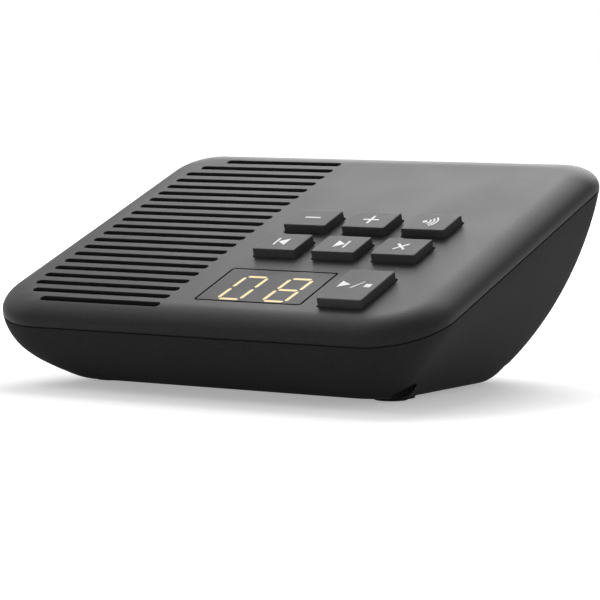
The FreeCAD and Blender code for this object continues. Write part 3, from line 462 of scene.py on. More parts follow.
def woven_cloth(name, dark, light, pitch_mm):
    """Plain weave: two sine waves at right angles, multiplied, so that each thread is lighter on its
    crown, a painted highlight. The texture's wave repeats after a full turn in radians over twenty times
    its scale."""
    material, tree, place = new_material(name)
    scale = 2 * HALF_TURN / 20 / (pitch_mm * MM)
    warp = add(tree, "TexWave", {"Vector": place, "Scale": scale}, "Fac", bands_direction="X")
    weft = add(tree, "TexWave", {"Vector": place, "Scale": scale}, "Fac", bands_direction="Y")
    crown_height_and_painted_sheen = add(tree, "Math", {0: warp, 1: weft}, operation="MULTIPLY")
    # Painted highlight: each thread's crown is lighter than its sides
    colour = add(tree, "Mix", {0: crown_height_and_painted_sheen, 6: linear(dark), 7: linear(light)}, 2, data_type="RGBA")
    relief = add(tree, "Bump", {"Height": crown_height_and_painted_sheen, "Distance": 0.08 * MM})
    shader = add(tree, "BsdfPrincipled", {"Base Color": colour, "Roughness": 0.9, "Normal": relief})
    add(tree, "OutputMaterial", {"Surface": shader})
    return material


def grained(name, dark, light, roughness, grain_mm, relief_mm):
    """Grainy solid, such as felted paper, foam, rubber or sintered ferrite: specks of two shades with
    relief to match."""
    material, tree, place = new_material(name)
    grain = add(tree, "TexNoise", {"Vector": place, "Scale": 1 / (grain_mm * MM), "Detail": 4.0,
                                   "Roughness": 0.65})
    specks = add(tree, "MapRange", {"Value": grain, "From Min": 0.35, "From Max": 0.65})
    colour = add(tree, "Mix", {0: specks, 6: linear(dark), 7: linear(light)}, 2, data_type="RGBA")
    relief = add(tree, "Bump", {"Height": grain, "Distance": relief_mm * MM})
    shader = add(tree, "BsdfPrincipled", {"Base Color": colour, "Roughness": roughness, "Normal": relief})
    add(tree, "OutputMaterial", {"Surface": shader})
    return material


def banded(name, dark, light, pitch_mm, direction, roughness, metallic=0.0):
    """Even bands side by side, as the turns of a coil or the conductors of a flat cable. On a coil the
    bands are painted light and shade: each turn is lighter on its crown and darker where it meets the
    next. On a cable they are the conductors' own colour under the film. The scale comes from the pitch as
    in the weave."""
    material, tree, place = new_material(name)
    scale = 2 * HALF_TURN / 20 / (pitch_mm * MM)
    conductors_and_turn_shade = add(tree, "TexWave", {"Vector": place, "Scale": scale}, "Fac", bands_direction=direction)
    # On a coil, a painted highlight on each turn and painted shade between turns
    colour = add(tree, "Mix", {0: conductors_and_turn_shade, 6: linear(dark), 7: linear(light)}, 2, data_type="RGBA")
    relief = add(tree, "Bump", {"Height": conductors_and_turn_shade, "Distance": 0.05 * MM})
    shader = add(tree, "BsdfPrincipled", {"Base Color": colour, "Roughness": roughness,
                                          "Metallic": metallic, "Normal": relief})
    add(tree, "OutputMaterial", {"Surface": shader})
    return material


FINISHES = {
    # Black ABS with a fine grain: a dark body under a broad, dull sheen that grows toward the light
    "cover_plastic": moulded("textured_abs_cover", "#191919", "#232324", 0.52, 0.18, 0.45, 0.03),
    # The same plastic with a duller grain, so that it hardly mirrors the table: the low index takes
    # away the gloss that plastic has at a grazing angle
    "tray_plastic": moulded("textured_abs_tray", "#2e2e2e", "#343434", 0.9, 1.0, 0.45, 0.012, 1.15),
    # Satin ABS, a little greyer than the cover
    "key_plastic": moulded("satin_abs_keys", "#4b4b4c", "#525253", 0.48, 0.07, 0.4, 0.01),
    # Smoked acrylic with a matt face, which passes for the cover until a lamp is lit behind it
    "window_lens": moulded("smoked_matt_acrylic", "#181819", "#1e1e1f", 0.5, 0.14, 0.45, 0.01),
    # Black polycarbonate that swallows stray light
    "display_body": moulded("matt_polycarbonate_display_body", "#0c0c0c", "#101010", 0.6),
    # Warm, even glow
    "digit_light": lit_light_guide("#f9d88a", 0.88),
    # The same guide unlit: almost black
    "digit_dark": moulded("unlit_light_guide", "#141310", "#181713", 0.5),
    # Black nylon, slightly waxy
    "switch_plastic": moulded("moulded_nylon_switches", "#1c1c1c", "#232323", 0.5),
    # Natural nylon, cream and waxy
    "plunger_plastic": moulded("natural_nylon_plungers", "#c9c0ae", "#d3cbb9", 0.45),
    # Green and glossy, with lighter tracks
    "board_laminate": solder_masked_laminate(),
    # Zinc plate: cool grey, half bright
    "screw_steel": rolled_metal("zinc_plated_steel", "#8f9194", "#b3b5b8", 0.35),
    # Pressed and passivated steel: darker and duller
    "basket_steel": rolled_metal("pressed_basket_steel", "#6d6f72", "#85878a", 0.45),
    # Fired and ground ceramic: charcoal with light specks
    "ferrite": grained("sintered_ferrite", "#17171a", "#2b2b2f", 0.7, 0.4, 0.02),
    # Black felted fibres
    "cone_paper": grained("felted_cone_paper", "#131313", "#262626", 0.9, 0.6, 0.04),
    # Open cells, fully matt
    "surround_foam": grained("surround_foam", "#141414", "#242424", 0.95, 0.5, 0.05),
    # Turns of 0.25 mm wire, with a varnish's gloss, and a painted highlight on each turn with painted
    # shade between turns
    "coil_copper": banded("enamelled_copper_turns", "#6e3a1e", "#c7794a", 0.25, "Z", 0.3, 1.0),
    # Black threads 0.5 mm apart, with a painted highlight on each thread's crown
    "dust_cloth": woven_cloth("dust_cloth_weave", "#050505", "#131313", 0.5),
    # Brown paper laminate
    "tag_laminate": grained("paper_phenolic_laminate", "#5f3a1a", "#7c5026", 0.5, 0.8, 0.01),
    # Filled epoxy, matt black
    "chip_epoxy": moulded("moulding_epoxy", "#111112", "#19191a", 0.55),
    # Shrunk sleeve, dark blue and glossy
    "capacitor_sleeve": moulded("shrunk_pvc_sleeve", "#14152a", "#1b1d38", 0.3),
    # Glass-filled polyester, black with a faint gloss
    "socket_plastic": moulded("glass_filled_pbt_sockets", "#121212", "#1a1a1b", 0.38),
    # Gold flash over nickel: warm and bright
    "contact_metal": rolled_metal("gold_plated_contacts", "#b8963e", "#dcbc66", 0.25),
    # Tinned sheet: pale and slightly cloudy
    "shield_tin": rolled_metal("tinned_steel_shield", "#a2a19b", "#c2c1bb", 0.4),
    # Black rubber, fully matt
    "foot_rubber": grained("moulded_foot_rubber", "#141414", "#202020", 0.85, 0.3, 0.01),
    # Natural nylon, cream
    "header_plastic": moulded("natural_nylon_headers", "#cfc8b8", "#dad4c6", 0.45),
    # Clear film over conductors 1 mm apart
    "cable_plastic": banded("flat_cable_film", "#6f7275", "#a3a6aa", 1.0, "X", 0.4),
    # Red soft PVC, glossy
    "wire_sleeve": moulded("pvc_wire_sleeve", "#6b0d0d", "#7a1414", 0.4),
}
# Pad-printed ink: clean white, satin
MARK_INK = moulded("pad_printed_white_ink", "#e9e9e7", "#f2f2f0", 0.5, 0.4, 0.5, 0.001)

for part in frame["record"]["subparts"]:
    solid = frame["nodes"][part["node"]]
    solid.data.materials.clear()
    solid.data.materials.append(FINISHES[part["material_slot"]])


# Top cover

def roll_profile():
    """The rounded edge: a quarter ellipse from the deck down to the side, shift minus the width
    times one minus sin a, height minus the depth times one minus cos a."""
    angle = np.linspace(0, QUARTER, 22)
    return np.column_stack((-ROLL_WIDTH * (1 - np.sin(angle)), -ROLL_DEPTH * (1 - np.cos(angle))))


def roll_drop(points):
    """How far the deck's surface lies below its flat part: at inset d from the outline, the roll's
    depth times one minus the root of one minus (1 - d / width) squared."""
    x, y = np.abs(points[:, 0]), points[:, 1]
    radius = np.where(y < 0, FRONT_CORNER, REAR_CORNER)
    over = np.stack((x - CASE_HALF + radius, np.abs(y) - DECK_HALF + radius), -1)
    beyond = np.linalg.norm(np.maximum(over, 0), axis=1)
    inset = radius - beyond - np.minimum(over.max(1), 0)
    share = np.clip(1 - inset / ROLL_WIDTH, 0, 1)
    return ROLL_DEPTH * (1 - np.sqrt(1 - share ** 2))


def slot_outlines():
    """Outline of each sound slot. The left ends follow the rounded corners of the field: at distance
    d from its end the left end moves in by R minus the root of R squared minus (R - d) squared."""
    middles = SLOT_FIRST - SLOT_PITCH * np.arange(SLOT_COUNT)
    field_half = (SLOT_PITCH * SLOT_COUNT - (SLOT_PITCH - SLOT_WIDTH)) / 2
    from_end = field_half - np.abs(middles - middles.mean())
    lack = np.clip(SLOT_FIELD_CORNER - from_end, 0, SLOT_FIELD_CORNER)
    moved = SLOT_FIELD_CORNER - np.sqrt(SLOT_FIELD_CORNER ** 2 - lack ** 2)
    left = SLOT_LEFT + moved
    outlines = []
    for start, y in zip(left, middles):
        outlines.append(plate_outline(SLOT_RIGHT - start, SLOT_WIDTH, SLOT_CORNER,
                                      (SLOT_RIGHT + start) / 2, y, 4))
    return outlines


def hole_profile(edge, guard):
    """The wall of a hole in the deck: a flat margin, a rounded edge and a straight drop."""
    rounding = arc_profile(edge, -edge, edge, QUARTER, HALF_TURN, 4)
    return np.concatenate(([(edge + guard, 0.0)], rounding, [(0.0, -SKIN)]))


def column(radius, x, y, low, bore, bore_deep):
    """Upright column from a level up into the deck, with a blind bore from below. Its top follows
    the slope of the deck."""
    outer = circle(radius, x, y, 32)[0]
    inner = circle(bore, x, y, 32)[0]
    into_deck = (SKIN / 2) / math.cos(TILT)
    top = DECK_HEIGHT + (outer[:, 1] + DECK_SETBACK) * math.tan(TILT) - into_deck
    level = np.full(len(outer), low)
    loops = np.stack((np.column_stack((inner, level + bore_deep)), np.column_stack((inner, level)),
                      np.column_stack((outer, level)), np.column_stack((outer, top))))
    return tube(loops)


def cover_outline():
    """The deck's outline, with a point about every millimetre."""
    points, directions = rounded_rectangle(CASE_HALF, -DECK_HALF, DECK_HALF, FRONT_CORNER, REAR_CORNER,
                                           20, 80)
    return points[0], directions


def cover_edge():
    """The cover's section from the start of the sheet on the deck, over the roll and round the lower
    edge to the rebate for the tray's tongue and the skin's underside."""
    roll = roll_profile()
    roll = roll[roll[:, 0] > SHEET_INSET]
    start = -ROLL_DEPTH * (1 - math.sqrt(1 - (1 + SHEET_INSET / ROLL_WIDTH) ** 2))
    below = arc_profile(-SEAM_EDGE, -SEAM_DEPTH + SEAM_EDGE, SEAM_EDGE, 0, -QUARTER, 4)
    tongue_room = -WALL + LIP_THICK + LIP_GAP
    rebate_top = -SEAM_DEPTH + LIP_RISE + LIP_GAP
    return np.concatenate(([(SHEET_INSET, start)], roll, below, [
        (tongue_room, -SEAM_DEPTH), (tongue_room, rebate_top), (-WALL, rebate_top), (-WALL, -SKIN)]))


def deck_holes():
    """Outline of each hole through the deck, with its edge radius and the flat margin round it."""
    slot_edge = 0.1
    slot_margin = 0.1
    key_edge = 0.12
    margin = 0.2
    holes = [(outline, slot_edge, slot_margin) for outline in slot_outlines()]
    for x, y, depth in KEYS.values():
        hole = plate_outline(KEY_WIDTH + 2 * KEY_GAP, depth + 2 * KEY_GAP, KEY_CORNER + KEY_GAP, x, y)
        holes.append((hole, key_edge, margin))
    hole = plate_outline(WINDOW_WIDTH + 2 * WINDOW_GAP, WINDOW_DEPTH + 2 * WINDOW_GAP,
                         WINDOW_CORNER + WINDOW_GAP, WINDOW_X, WINDOW_Y)
    return holes + [(hole, WINDOW_EDGE, margin)]


def make_cover():
    """Deck with its holes, rolled edge, rebate for the tray's tongue and the screw columns inside.
    The sheet round the holes is made flat, and then lowered where the roll begins."""
    outline = cover_outline()
    loops = swept(outline, cover_edge())
    surfaces = [rings(loops)]
    top_holes = []
    under_holes = []
    for hole, edge, margin in deck_holes():
        wall = swept(hole, hole_profile(edge, margin))
        wall[:-1, :, 2] -= roll_drop(wall[:-1].reshape(-1, 3)).reshape(wall[:-1].shape[:2])
        surfaces.append(rings(wall))
        top_holes.append(wall[0][:, :2])
        under_holes.append(wall[-1][:, :2])
    points, faces = flat_sheet(loops[0][:, :2], top_holes, 0.0, [free_points(outline)])
    points[:, 2] -= roll_drop(points)
    surfaces.append((points, faces))
    surfaces.append(flat_sheet(loops[-1][:, :2], under_holes, -SKIN))
    cover = mesh_object("cover", surfaces, on_deck)
    pilot_radius = 1.25
    pilot_depth = 7.5
    columns = []
    for x, y, joint in BOSSES:
        columns += column(COVER_BOSS_RADIUS, x, y, joint, pilot_radius, pilot_depth)
    inside = mesh_object("cover_columns", columns)
    join([cover, inside])
    dress(shade(cover), FINISHES["cover_plastic"], "case", "top_cover", slot="cover_plastic")


def free_points(outline):
    """Points of the deck's sheet on loops inside its outline, with which it bends as the roll does.
    None lies near a slot."""
    insets = (-5.2, -5.9, -6.6, -7.3, -8.0)
    points = swept(outline, [(inset, 0.0) for inset in insets])[:, :, :2].reshape(-1, 2)
    last_slot = SLOT_FIRST - SLOT_PITCH * (SLOT_COUNT - 1)
    clear_across = 1.0
    clear_along = 0.7
    near_last = (points[:, 0] < SLOT_RIGHT + clear_across) & (
        np.abs(points[:, 1] - last_slot) < SLOT_WIDTH / 2 + clear_along)
    return points[~near_last & ~near_a_slot(points)]


def near_a_slot(points):
    """Whether points lie within a margin of a slot's rectangle."""
    margin = 0.5
    middles = SLOT_FIRST - SLOT_PITCH * np.arange(SLOT_COUNT)
    across = (points[:, 0] > SLOT_LEFT - margin) & (points[:, 0] < SLOT_RIGHT + margin)
    along = np.abs(points[:, 1, None] - middles).min(1) < SLOT_WIDTH / 2 + margin
    return across & along


def join(pieces):
    """Several objects' meshes in the first object."""
    work = bmesh.new()
    for piece in pieces:
        work.from_mesh(piece.data)
    work.to_mesh(pieces[0].data)
    work.free()
    for piece in pieces[1:]:
        bpy.data.objects.remove(piece)
    return pieces[0]


# Base tray

def bowl_loops(inset, floor, down):
    """Loops of the tray's wall. At each share of the way down, the loop is a rounded rectangle in a
    plane that turns about one line in front of the case, from the slope of the seam to level. Its
    half width, front and rear go from the seam's to the floor's with the share to the power of a
    bulge, and its corner radii go evenly."""
    down = np.asarray(down, float)
    seam = SEAM_DEPTH
    hinge = -DECK_SETBACK + (floor - DECK_HEIGHT + seam / math.cos(TILT)) / math.tan(TILT)
    front_top = -DECK_SETBACK - DECK_HALF * math.cos(TILT) + seam * math.sin(TILT)
    rear_top = -DECK_SETBACK + DECK_HALF * math.cos(TILT) + seam * math.sin(TILT)
    slope = np.arctan((1 - down) * math.tan(TILT))
    side, front, rear = down ** SIDE_BULGE, down ** FRONT_BULGE, down ** REAR_BULGE
    half = CASE_HALF * (1 - side) + FLOOR_HALF * side - inset
    near = (front_top * (1 - front) - FLOOR_FRONT * front - hinge) / np.cos(slope) + inset
    far = (rear_top * (1 - rear) + FLOOR_REAR * rear - hinge) / np.cos(slope) - inset
    front_radius = FRONT_CORNER * (1 - down) + FLOOR_FRONT_CORNER * down - inset
    rear_radius = REAR_CORNER * (1 - down) + FLOOR_REAR_CORNER * down - inset
    flat, _ = rounded_rectangle(half, near, far, front_radius, rear_radius, CASE_ARC_STEPS,
                                CASE_SIDE_STEPS)
    x, run = flat[..., 0], flat[..., 1]
    y = hinge + run * np.cos(slope)[:, None]
    z = floor + run * np.sin(slope)[:, None]
    return np.stack((x, y, z), -1)


def seam_loops(profile):
    """Loops on the deck's outline, for the tray's rim, in world coordinates."""
    points, directions = rounded_rectangle(CASE_HALF, -DECK_HALF, DECK_HALF, FRONT_CORNER,
                                           REAR_CORNER, CASE_ARC_STEPS, CASE_SIDE_STEPS)
    return on_deck(swept((points[0], directions), profile)) / MM


def outer_wall():
    """The tray's outside from its rim to the rounded edge of the floor. The rim goes straight down
    from the seam: at depth d below it, its points move forward by d times the sine of the tilt. The
    floor's edge goes along (1-s)(1-s) A + 2s(1-s) C + s s B, from the wall A over the crease C to
    the floor B."""
    rim_low = -SEAM_DEPTH - SEAM_GAP
    rim_profile = np.array([(-SEAM_EDGE, rim_low), (-0.3 * SEAM_EDGE, rim_low - 0.3 * SEAM_EDGE),
                            (0.0, rim_low - SEAM_EDGE)])
    rim = seam_loops(rim_profile)
    below_seam = -SEAM_DEPTH - rim_profile[:, 1, None]
    rim[..., 1] -= below_seam * math.sin(TILT)
    edge_share = 0.06
    first_share = 0.055
    wall = bowl_loops(0.0, FLOOR_HEIGHT, np.linspace(first_share, 1 - edge_share, 40))
    crease = bowl_loops(0.0, FLOOR_HEIGHT, [1.0])[0]
    edge_width = 1.6
    inner_floor = drawn_in(crease, edge_width)
    s = np.linspace(0, 1, 8)[1:, None, None]
    edge = (1 - s) ** 2 * wall[-1] + 2 * s * (1 - s) * crease + s ** 2 * inner_floor
    guard = drawn_in(crease, edge_width + 0.5)[None]
    return np.concatenate((rim, wall, edge, guard))


def drawn_in(loop, inset):
    """A level loop of the floor's outline, drawn in by a distance."""
    points, directions = rounded_rectangle(FLOOR_HALF, -FLOOR_FRONT, FLOOR_REAR, FLOOR_FRONT_CORNER,
                                           FLOOR_REAR_CORNER, CASE_ARC_STEPS, CASE_SIDE_STEPS)
    flat = points[0] - inset * directions
    return np.column_stack((flat, loop[:, 2]))


def rod(radius, x, y, low, high, steps=48):
    """Closed upright cylinder."""
    return tube(swept(circle(radius, x, y, steps), [(0.0, low), (0.0, high)]))


def block(low, high):
    """Closed box between two corners."""
    (x0, y0, z0), (x1, y1, z1) = low, high
    return upward(np.array([(x0, y0), (x1, y0), (x1, y1), (x0, y1)], float), z0, z1)


def make_tray():
    """Hollow bowl with its tongue, a land that bears the cover, screw columns and connector alcove,
    cut by the bores, the feet's recesses and the connectors' holes."""
    outside = outer_wall()
    floor_top = FLOOR_HEIGHT + WALL
    tongue_top = -SEAM_DEPTH + LIP_RISE
    rim_low = -SEAM_DEPTH - SEAM_GAP
    tongue_out = -WALL + LIP_THICK
    land = -SEAM_DEPTH - 0.02
    tongue = seam_loops([(-WALL, tongue_top), (tongue_out, tongue_top), (tongue_out, land),
                         (-SEAM_GROOVE, land), (-SEAM_GROOVE, rim_low)])
    inside = bowl_loops(WALL, floor_top, np.linspace(1, 0.05, 24))
    shell = mesh_object("tray", [rings(np.concatenate((inside, tongue, outside))), cap(inside[0]),
                                 cap(outside[-1])])
    whole = mesh_object("tray_whole", tube(outside))
    carriers = []
    for x, y, joint in BOSSES:
        carriers += rod(BOSS_RADIUS, x, y, BELOW_FLOOR, joint)
    far = CASE_HALF
    carriers += block((ALCOVE_LEFT - ALCOVE_WALL, PANEL_INSIDE, ALCOVE_LOW - ALCOVE_WALL),
                      (ALCOVE_RIGHT + ALCOVE_WALL, far, ALCOVE_HIGH + ALCOVE_WALL))
    inner = combine(mesh_object("carriers", carriers), whole, "INTERSECT")
    rims = []
    rounding = 0.2
    profile = np.concatenate(([(0.0, FLOOR_HEIGHT + WALL / 2)],
                              arc_profile(-rounding, FOOT_RIM_LOW + rounding, rounding, 0, -QUARTER, 4)))
    for x, y in FEET.values():
        rims += tube(swept(circle(FOOT_RADIUS + FOOT_RIM, x, y), profile))
    combine(shell, inner, "UNION")
    combine(shell, mesh_object("rims", rims), "UNION")
    combine(shell, mesh_object("tray_cutters", tray_cutters()), "DIFFERENCE")
    combine(shell, mesh_object("connector_cutters", connector_cutters()), "DIFFERENCE")
    sharp_from = 28
    dress(shade(shell, sharp_from), FINISHES["tray_plastic"], "case", "base_tray", slot="tray_plastic")


def tray_cutters():
    """Bores, screw holes, feet's recesses and the alcove's room."""
    cutters = []
    for x, y, joint in BOSSES:
        profile = [(BORE_RADIUS, BELOW_FLOOR), (BORE_RADIUS, joint - SHELF),
                   (SCREW_HOLE, joint - SHELF), (SCREW_HOLE, joint - BELOW_FLOOR)]
        cutters += tube(swept(circle(0.0, x, y), profile))
    for x, y in FEET.values():
        cutters += rod(FOOT_RADIUS + FOOT_ROOM, x, y, BELOW_FLOOR, FOOT_TOP)
    return cutters + alcove_room(PANEL_INSIDE + ALCOVE_WALL)


def connector_cutters():
    """Holes through the alcove's panel for the line socket and the supply inlet."""
    panel_out = PANEL_INSIDE + ALCOVE_WALL
    line_middle = BOARD_TOP + LINE_TALL / 2
    half_wide = LINE_MOUTH_WIDTH / 2 + SOCKET_GAP
    half_tall = LINE_MOUTH_TALL / 2 + SOCKET_GAP
    past = 1.0
    line_hole = block((LINE_X - half_wide, PANEL_INSIDE - past, line_middle - half_tall),
                      (LINE_X + half_wide, panel_out + past, line_middle + half_tall))
    flat, _ = circle(INLET_HOLE_RADIUS)
    return line_hole + rearward(flat + (INLET_X, BOARD_TOP + INLET_TALL / 2), PANEL_INSIDE - past,
                                panel_out + past)


def alcove_room(panel_out):
    """The alcove's room: a rounded rectangle carried straight out to the rear."""
    width = ALCOVE_RIGHT - ALCOVE_LEFT
    tall = ALCOVE_HIGH - ALCOVE_LOW
    flat, _ = plate_outline(width, tall, ALCOVE_CORNER, (ALCOVE_RIGHT + ALCOVE_LEFT) / 2,
                            (ALCOVE_HIGH + ALCOVE_LOW) / 2, 6)
    return rearward(flat, panel_out, CASE_HALF)


# Keys, window and their marks

def make_key(name, x, y, depth):
    """Cap with rounded edges, its retaining flange and the stem below it."""
    outline = plate_outline(KEY_WIDTH, depth, KEY_CORNER, x, y, 6)
    rounding = arc_profile(-KEY_EDGE, KEY_RISE - KEY_EDGE, KEY_EDGE, QUARTER, 0, 5)
    flange_low = KEY_SEAT - KEY_FLANGE_THICK
    flat_margin = 0.12
    profile = np.concatenate(([(-KEY_EDGE - flat_margin, KEY_RISE)], rounding, [
        (0.0, KEY_SEAT), (KEY_FLANGE, KEY_SEAT), (KEY_FLANGE, flange_low), (UNDERSIDE, flange_low)]))
    stem = swept(plate_outline(STEM_SIDE, STEM_SIDE, STEM_CORNER, x, y, 2),
                 [(0.0, flange_low), (0.0, STEM_UNDER)])
    key = mesh_object(name + "_cap", tube(swept(outline, profile)), on_deck)
    join([key, mesh_object("stem", tube(stem), on_deck)])
    dress(shade(key), FINISHES["key_plastic"], name + "_button", name + "_key", slot="key_plastic")


def make_window():
    """Flush lens with a flange below the deck."""
    shadow_line = 0.18
    outline = plate_outline(WINDOW_WIDTH - 2 * shadow_line, WINDOW_DEPTH - 2 * shadow_line,
                            WINDOW_CORNER - shadow_line, WINDOW_X, WINDOW_Y, 6)
    flat_margin = 0.3
    rounding = arc_profile(-WINDOW_EDGE, -WINDOW_EDGE, WINDOW_EDGE, QUARTER, 0, 4)
    profile = np.concatenate(([(-WINDOW_EDGE - flat_margin, 0.0)], rounding, [
        (0.0, -SKIN), (WINDOW_FLANGE, -SKIN), (WINDOW_FLANGE, -WINDOW_THICK),
        (UNDERSIDE, -WINDOW_THICK)]))
    window = mesh_object("window_lens", tube(swept(outline, profile)), on_deck)
    dress(shade(window), FINISHES["window_lens"], "case", "display_window", slot="window_lens")


def digit_shapes(lit, x, y):
    """Mitred bars of one seven-bar digit, leaned over: each bar is a long hexagon."""
    half = DIGIT_BAR_HALF
    point = DIGIT_BAR_WIDTH / 2
    bar = np.array([(-half, 0), (-half + point, -point), (half - point, -point), (half, 0),
                    (half - point, point), (-half + point, point)])
    upright_bar = bar[:, ::-1] * (1, -1)
    reach = DIGIT_REACH
    places = {"top": (bar, 0, reach), "middle": (bar, 0, 0), "bottom": (bar, 0, -reach),
              "upper_left": (upright_bar, -reach / 2, reach / 2),
              "upper_right": (upright_bar, reach / 2, reach / 2),
              "lower_left": (upright_bar, -reach / 2, -reach / 2),
              "lower_right": (upright_bar, reach / 2, -reach / 2)}
    shapes = []
    for name in lit:
        shape, across, along = places[name]
        flat = shape + (across, along)
        shapes.append(flat + np.column_stack((DIGIT_LEAN * flat[:, 1] + x, np.full(len(flat), y))))
    return shapes


def make_lit_image():
    """The lit digits as they show on the window's matt face: an 0 and an 8."""
    ring = ["top", "bottom", "upper_left", "upper_right", "lower_left", "lower_right"]
    sunk = -0.01
    proud = 0.012
    surfaces = []
    for lit, side in ((ring, -1), (ring + ["middle"], 1)):
        for flat in digit_shapes(lit, DIGITS_X + side * DIGIT_PITCH / 2, DIGITS_Y):
            surfaces += upward(flat, sunk, proud)
    image = mesh_object("lit_digits_on_window", surfaces, on_deck)
    dress(image, FINISHES["digit_light"], "case", slot="digit_light")


def bar_shape(x0, y0, x1, y1, width):
    """Outline of a straight stroke between two points."""
    start, end = np.array((x0, y0), float), np.array((x1, y1), float)
    along = (end - start) / np.linalg.norm(end - start)
    side = np.array((-along[1], along[0])) * width / 2
    return np.array((start - side, end - side, end + side, start + side))


def arc_shape(x, y, radius, width, spread):
    """Outline of a curved stroke that opens to the left: the outer arc one way, then the inner arc
    back, both from minus to plus the spread."""
    angle = np.linspace(-spread, spread, 15)
    outer = np.column_stack((np.cos(angle), np.sin(angle))) * (radius + width / 2)
    inner = np.column_stack((np.cos(angle), np.sin(angle)))[::-1] * (radius - width / 2)
    return np.concatenate((outer, inner)) + (x, y)


def mark_shapes():
    """Outlines of the printed symbol on each key, round the key's middle."""
    arm = 2.05
    stroke = 0.6
    tall = 1.75
    cross = 2.0 * math.sqrt(0.5)
    wave_start = -1.45
    dot, _ = circle(0.58, wave_start, 0.0, 24)
    waves = [arc_shape(wave_start, 0.0, radius, 0.42, math.radians(48)) for radius in (1.3, 2.15, 3.0)]
    back = np.array([(1.35, -tall), (1.35, tall), (-1.0, 0.0)])
    play = np.array([(-3.95, -1.55), (-1.3, 0.0), (-3.95, 1.55)])
    half = 0.8
    square = plate_outline(2 * half, 2 * half, 0.02, 3.2, -0.2, 1)[0]
    return {
        "minus": [bar_shape(-arm, 0, arm, 0, stroke)],
        "plus": [bar_shape(-arm, 0, arm, 0, stroke), bar_shape(0, -arm, 0, arm, stroke)],
        "paging": [dot] + waves,
        "previous": [bar_shape(-1.45, -tall, -1.45, tall, 0.5), back],
        "next": [bar_shape(1.45, -tall, 1.45, tall, 0.5), back[::-1] * (-1, 1)],
        "delete": [bar_shape(-cross, -cross, cross, cross, stroke),
                   bar_shape(-cross, cross, cross, -cross, stroke)],
        "play_stop": [play, bar_shape(-0.45, -1.7, 1.5, 1.6, 0.36), square],
    }


def make_marks():
    """Printed symbols: thin raised layers of ink on the keys' tops. Where strokes cross, each lies a
    little above the last."""
    low = KEY_RISE - 0.01
    layer = 0.03
    step = 0.004
    for name, shapes in mark_shapes().items():
        x, y, _ = KEYS[name]
        surfaces = []
        for index, shape in enumerate(shapes):
            flat = shape + (x, y)
            high = KEY_RISE + layer + step * index
            surfaces += upward(flat, low, high)
        mark = mesh_object(name + "_mark", surfaces, on_deck)
        mark.data.materials.append(MARK_INK)
        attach(mark, name + "_button")


# Feet, screws and connectors

def make_feet():
    """Rubber pads with rounded lower edges."""
    for name, (x, y) in FEET.items():
        profile = np.concatenate(([(-0.1, FOOT_TOP), (0.0, FOOT_TOP - 0.1)],
                                  arc_profile(-0.35, 0.35, 0.35, 0, -QUARTER, 6), [(-0.8, 0.0)]))
        foot = mesh_object(name + "_pad", tube(swept(circle(FOOT_RADIUS, x, y), profile)))
        dress(shade(foot), FINISHES["foot_rubber"], "case", name, slot="foot_rubber")


def cross_outline(reach, half, x, y):
    """Outline of an upright cross, and no outward shift."""
    arm = np.array([(reach, -half), (reach, half), (half, half)])
    quarter_turn = np.array([(0, 1), (-1, 0)])
    turned = [arm]
    for _ in range(3):
        turned.append(turned[-1] @ quarter_turn)
    points = np.concatenate(turned) + (x, y)
    return points, np.zeros_like(points)


def make_case_screws():
    """Pan-head screws with a cross recess, deep in their bores."""
    shank = 1.2
    bite = 6.5
    head_tall = 2.2
    arm = 1.5
    arm_half = 0.32
    recess = 1.1
    screws = []
    cutters = []
    for x, y, joint in BOSSES:
        seat = joint - SHELF
        low = seat - head_tall
        # The head's section: a straight side and a domed end
        head = [(2.6, seat), (2.6, seat - 1.3), (2.3, low + 0.4), (1.6, low)]
        profile = [(shank, joint + bite), (shank, seat)] + head
        screws += tube(swept(circle(0.0, x, y, 32), profile))
        cutters += tube(swept(cross_outline(arm, arm_half, x, y), [(0, low - 1), (0, low + recess)]))
    made = combine(mesh_object("pan_head_screws", screws), mesh_object("recesses", cutters), "DIFFERENCE")
    dress(shade(made), FINISHES["screw_steel"], "case", "case_screws", slot="screw_steel")


def make_line_contacts():
    """Four sprung gold wires that slope down into the line socket's mouth."""
    middle = BOARD_TOP + LINE_TALL / 2
    top = middle + LINE_MOUTH_TALL / 2 - 0.5
    pitch = 1.02
    wire_radius = 0.16
    contacts = []
    for index in range(4):
        x = LINE_X + (index - 1.5) * pitch
        # Side view of a wire: level out of the body, then sloping down, with a turned-up end
        path = np.array([(PANEL_INSIDE - 0.8, top), (PANEL_INSIDE - 3.0, top - 0.2),
                         (PANEL_INSIDE - 7.5, top - 2.6), (PANEL_INSIDE - 8.2, top - 2.4)])
        ring, _ = circle(wire_radius, steps=10)
        loops = np.stack([np.column_stack((ring[:, 0] + x, np.full(len(ring), y), ring[:, 1] + z))
                          for y, z in path])
        contacts += tube(loops)
    made = mesh_object("line_contacts", contacts)
    made.data.materials.append(FINISHES["contact_metal"])
    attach(shade(made), "case")


make_cover()
make_tray()
for key_name, (key_x, key_y, key_deep) in KEYS.items():
    make_key(key_name, key_x, key_y, key_deep)
make_window()
make_lit_image()
make_marks()
make_feet()
make_case_screws()
make_line_contacts()


# Floor, light and camera

def seen_directly(tree):
    """One for rays from the camera, from gloss and through clear plastic, and none for others."""
    camera = add(tree, "LightPath", {}, "Is Camera Ray")
    gloss = add(tree, "LightPath", {}, "Is Glossy Ray")
    clear = add(tree, "LightPath", {}, "Is Transmission Ray")
    either = add(tree, "Math", {0: camera, 1: gloss}, operation="MAXIMUM")
    return add(tree, "Math", {0: either, 1: clear}, operation="MAXIMUM")


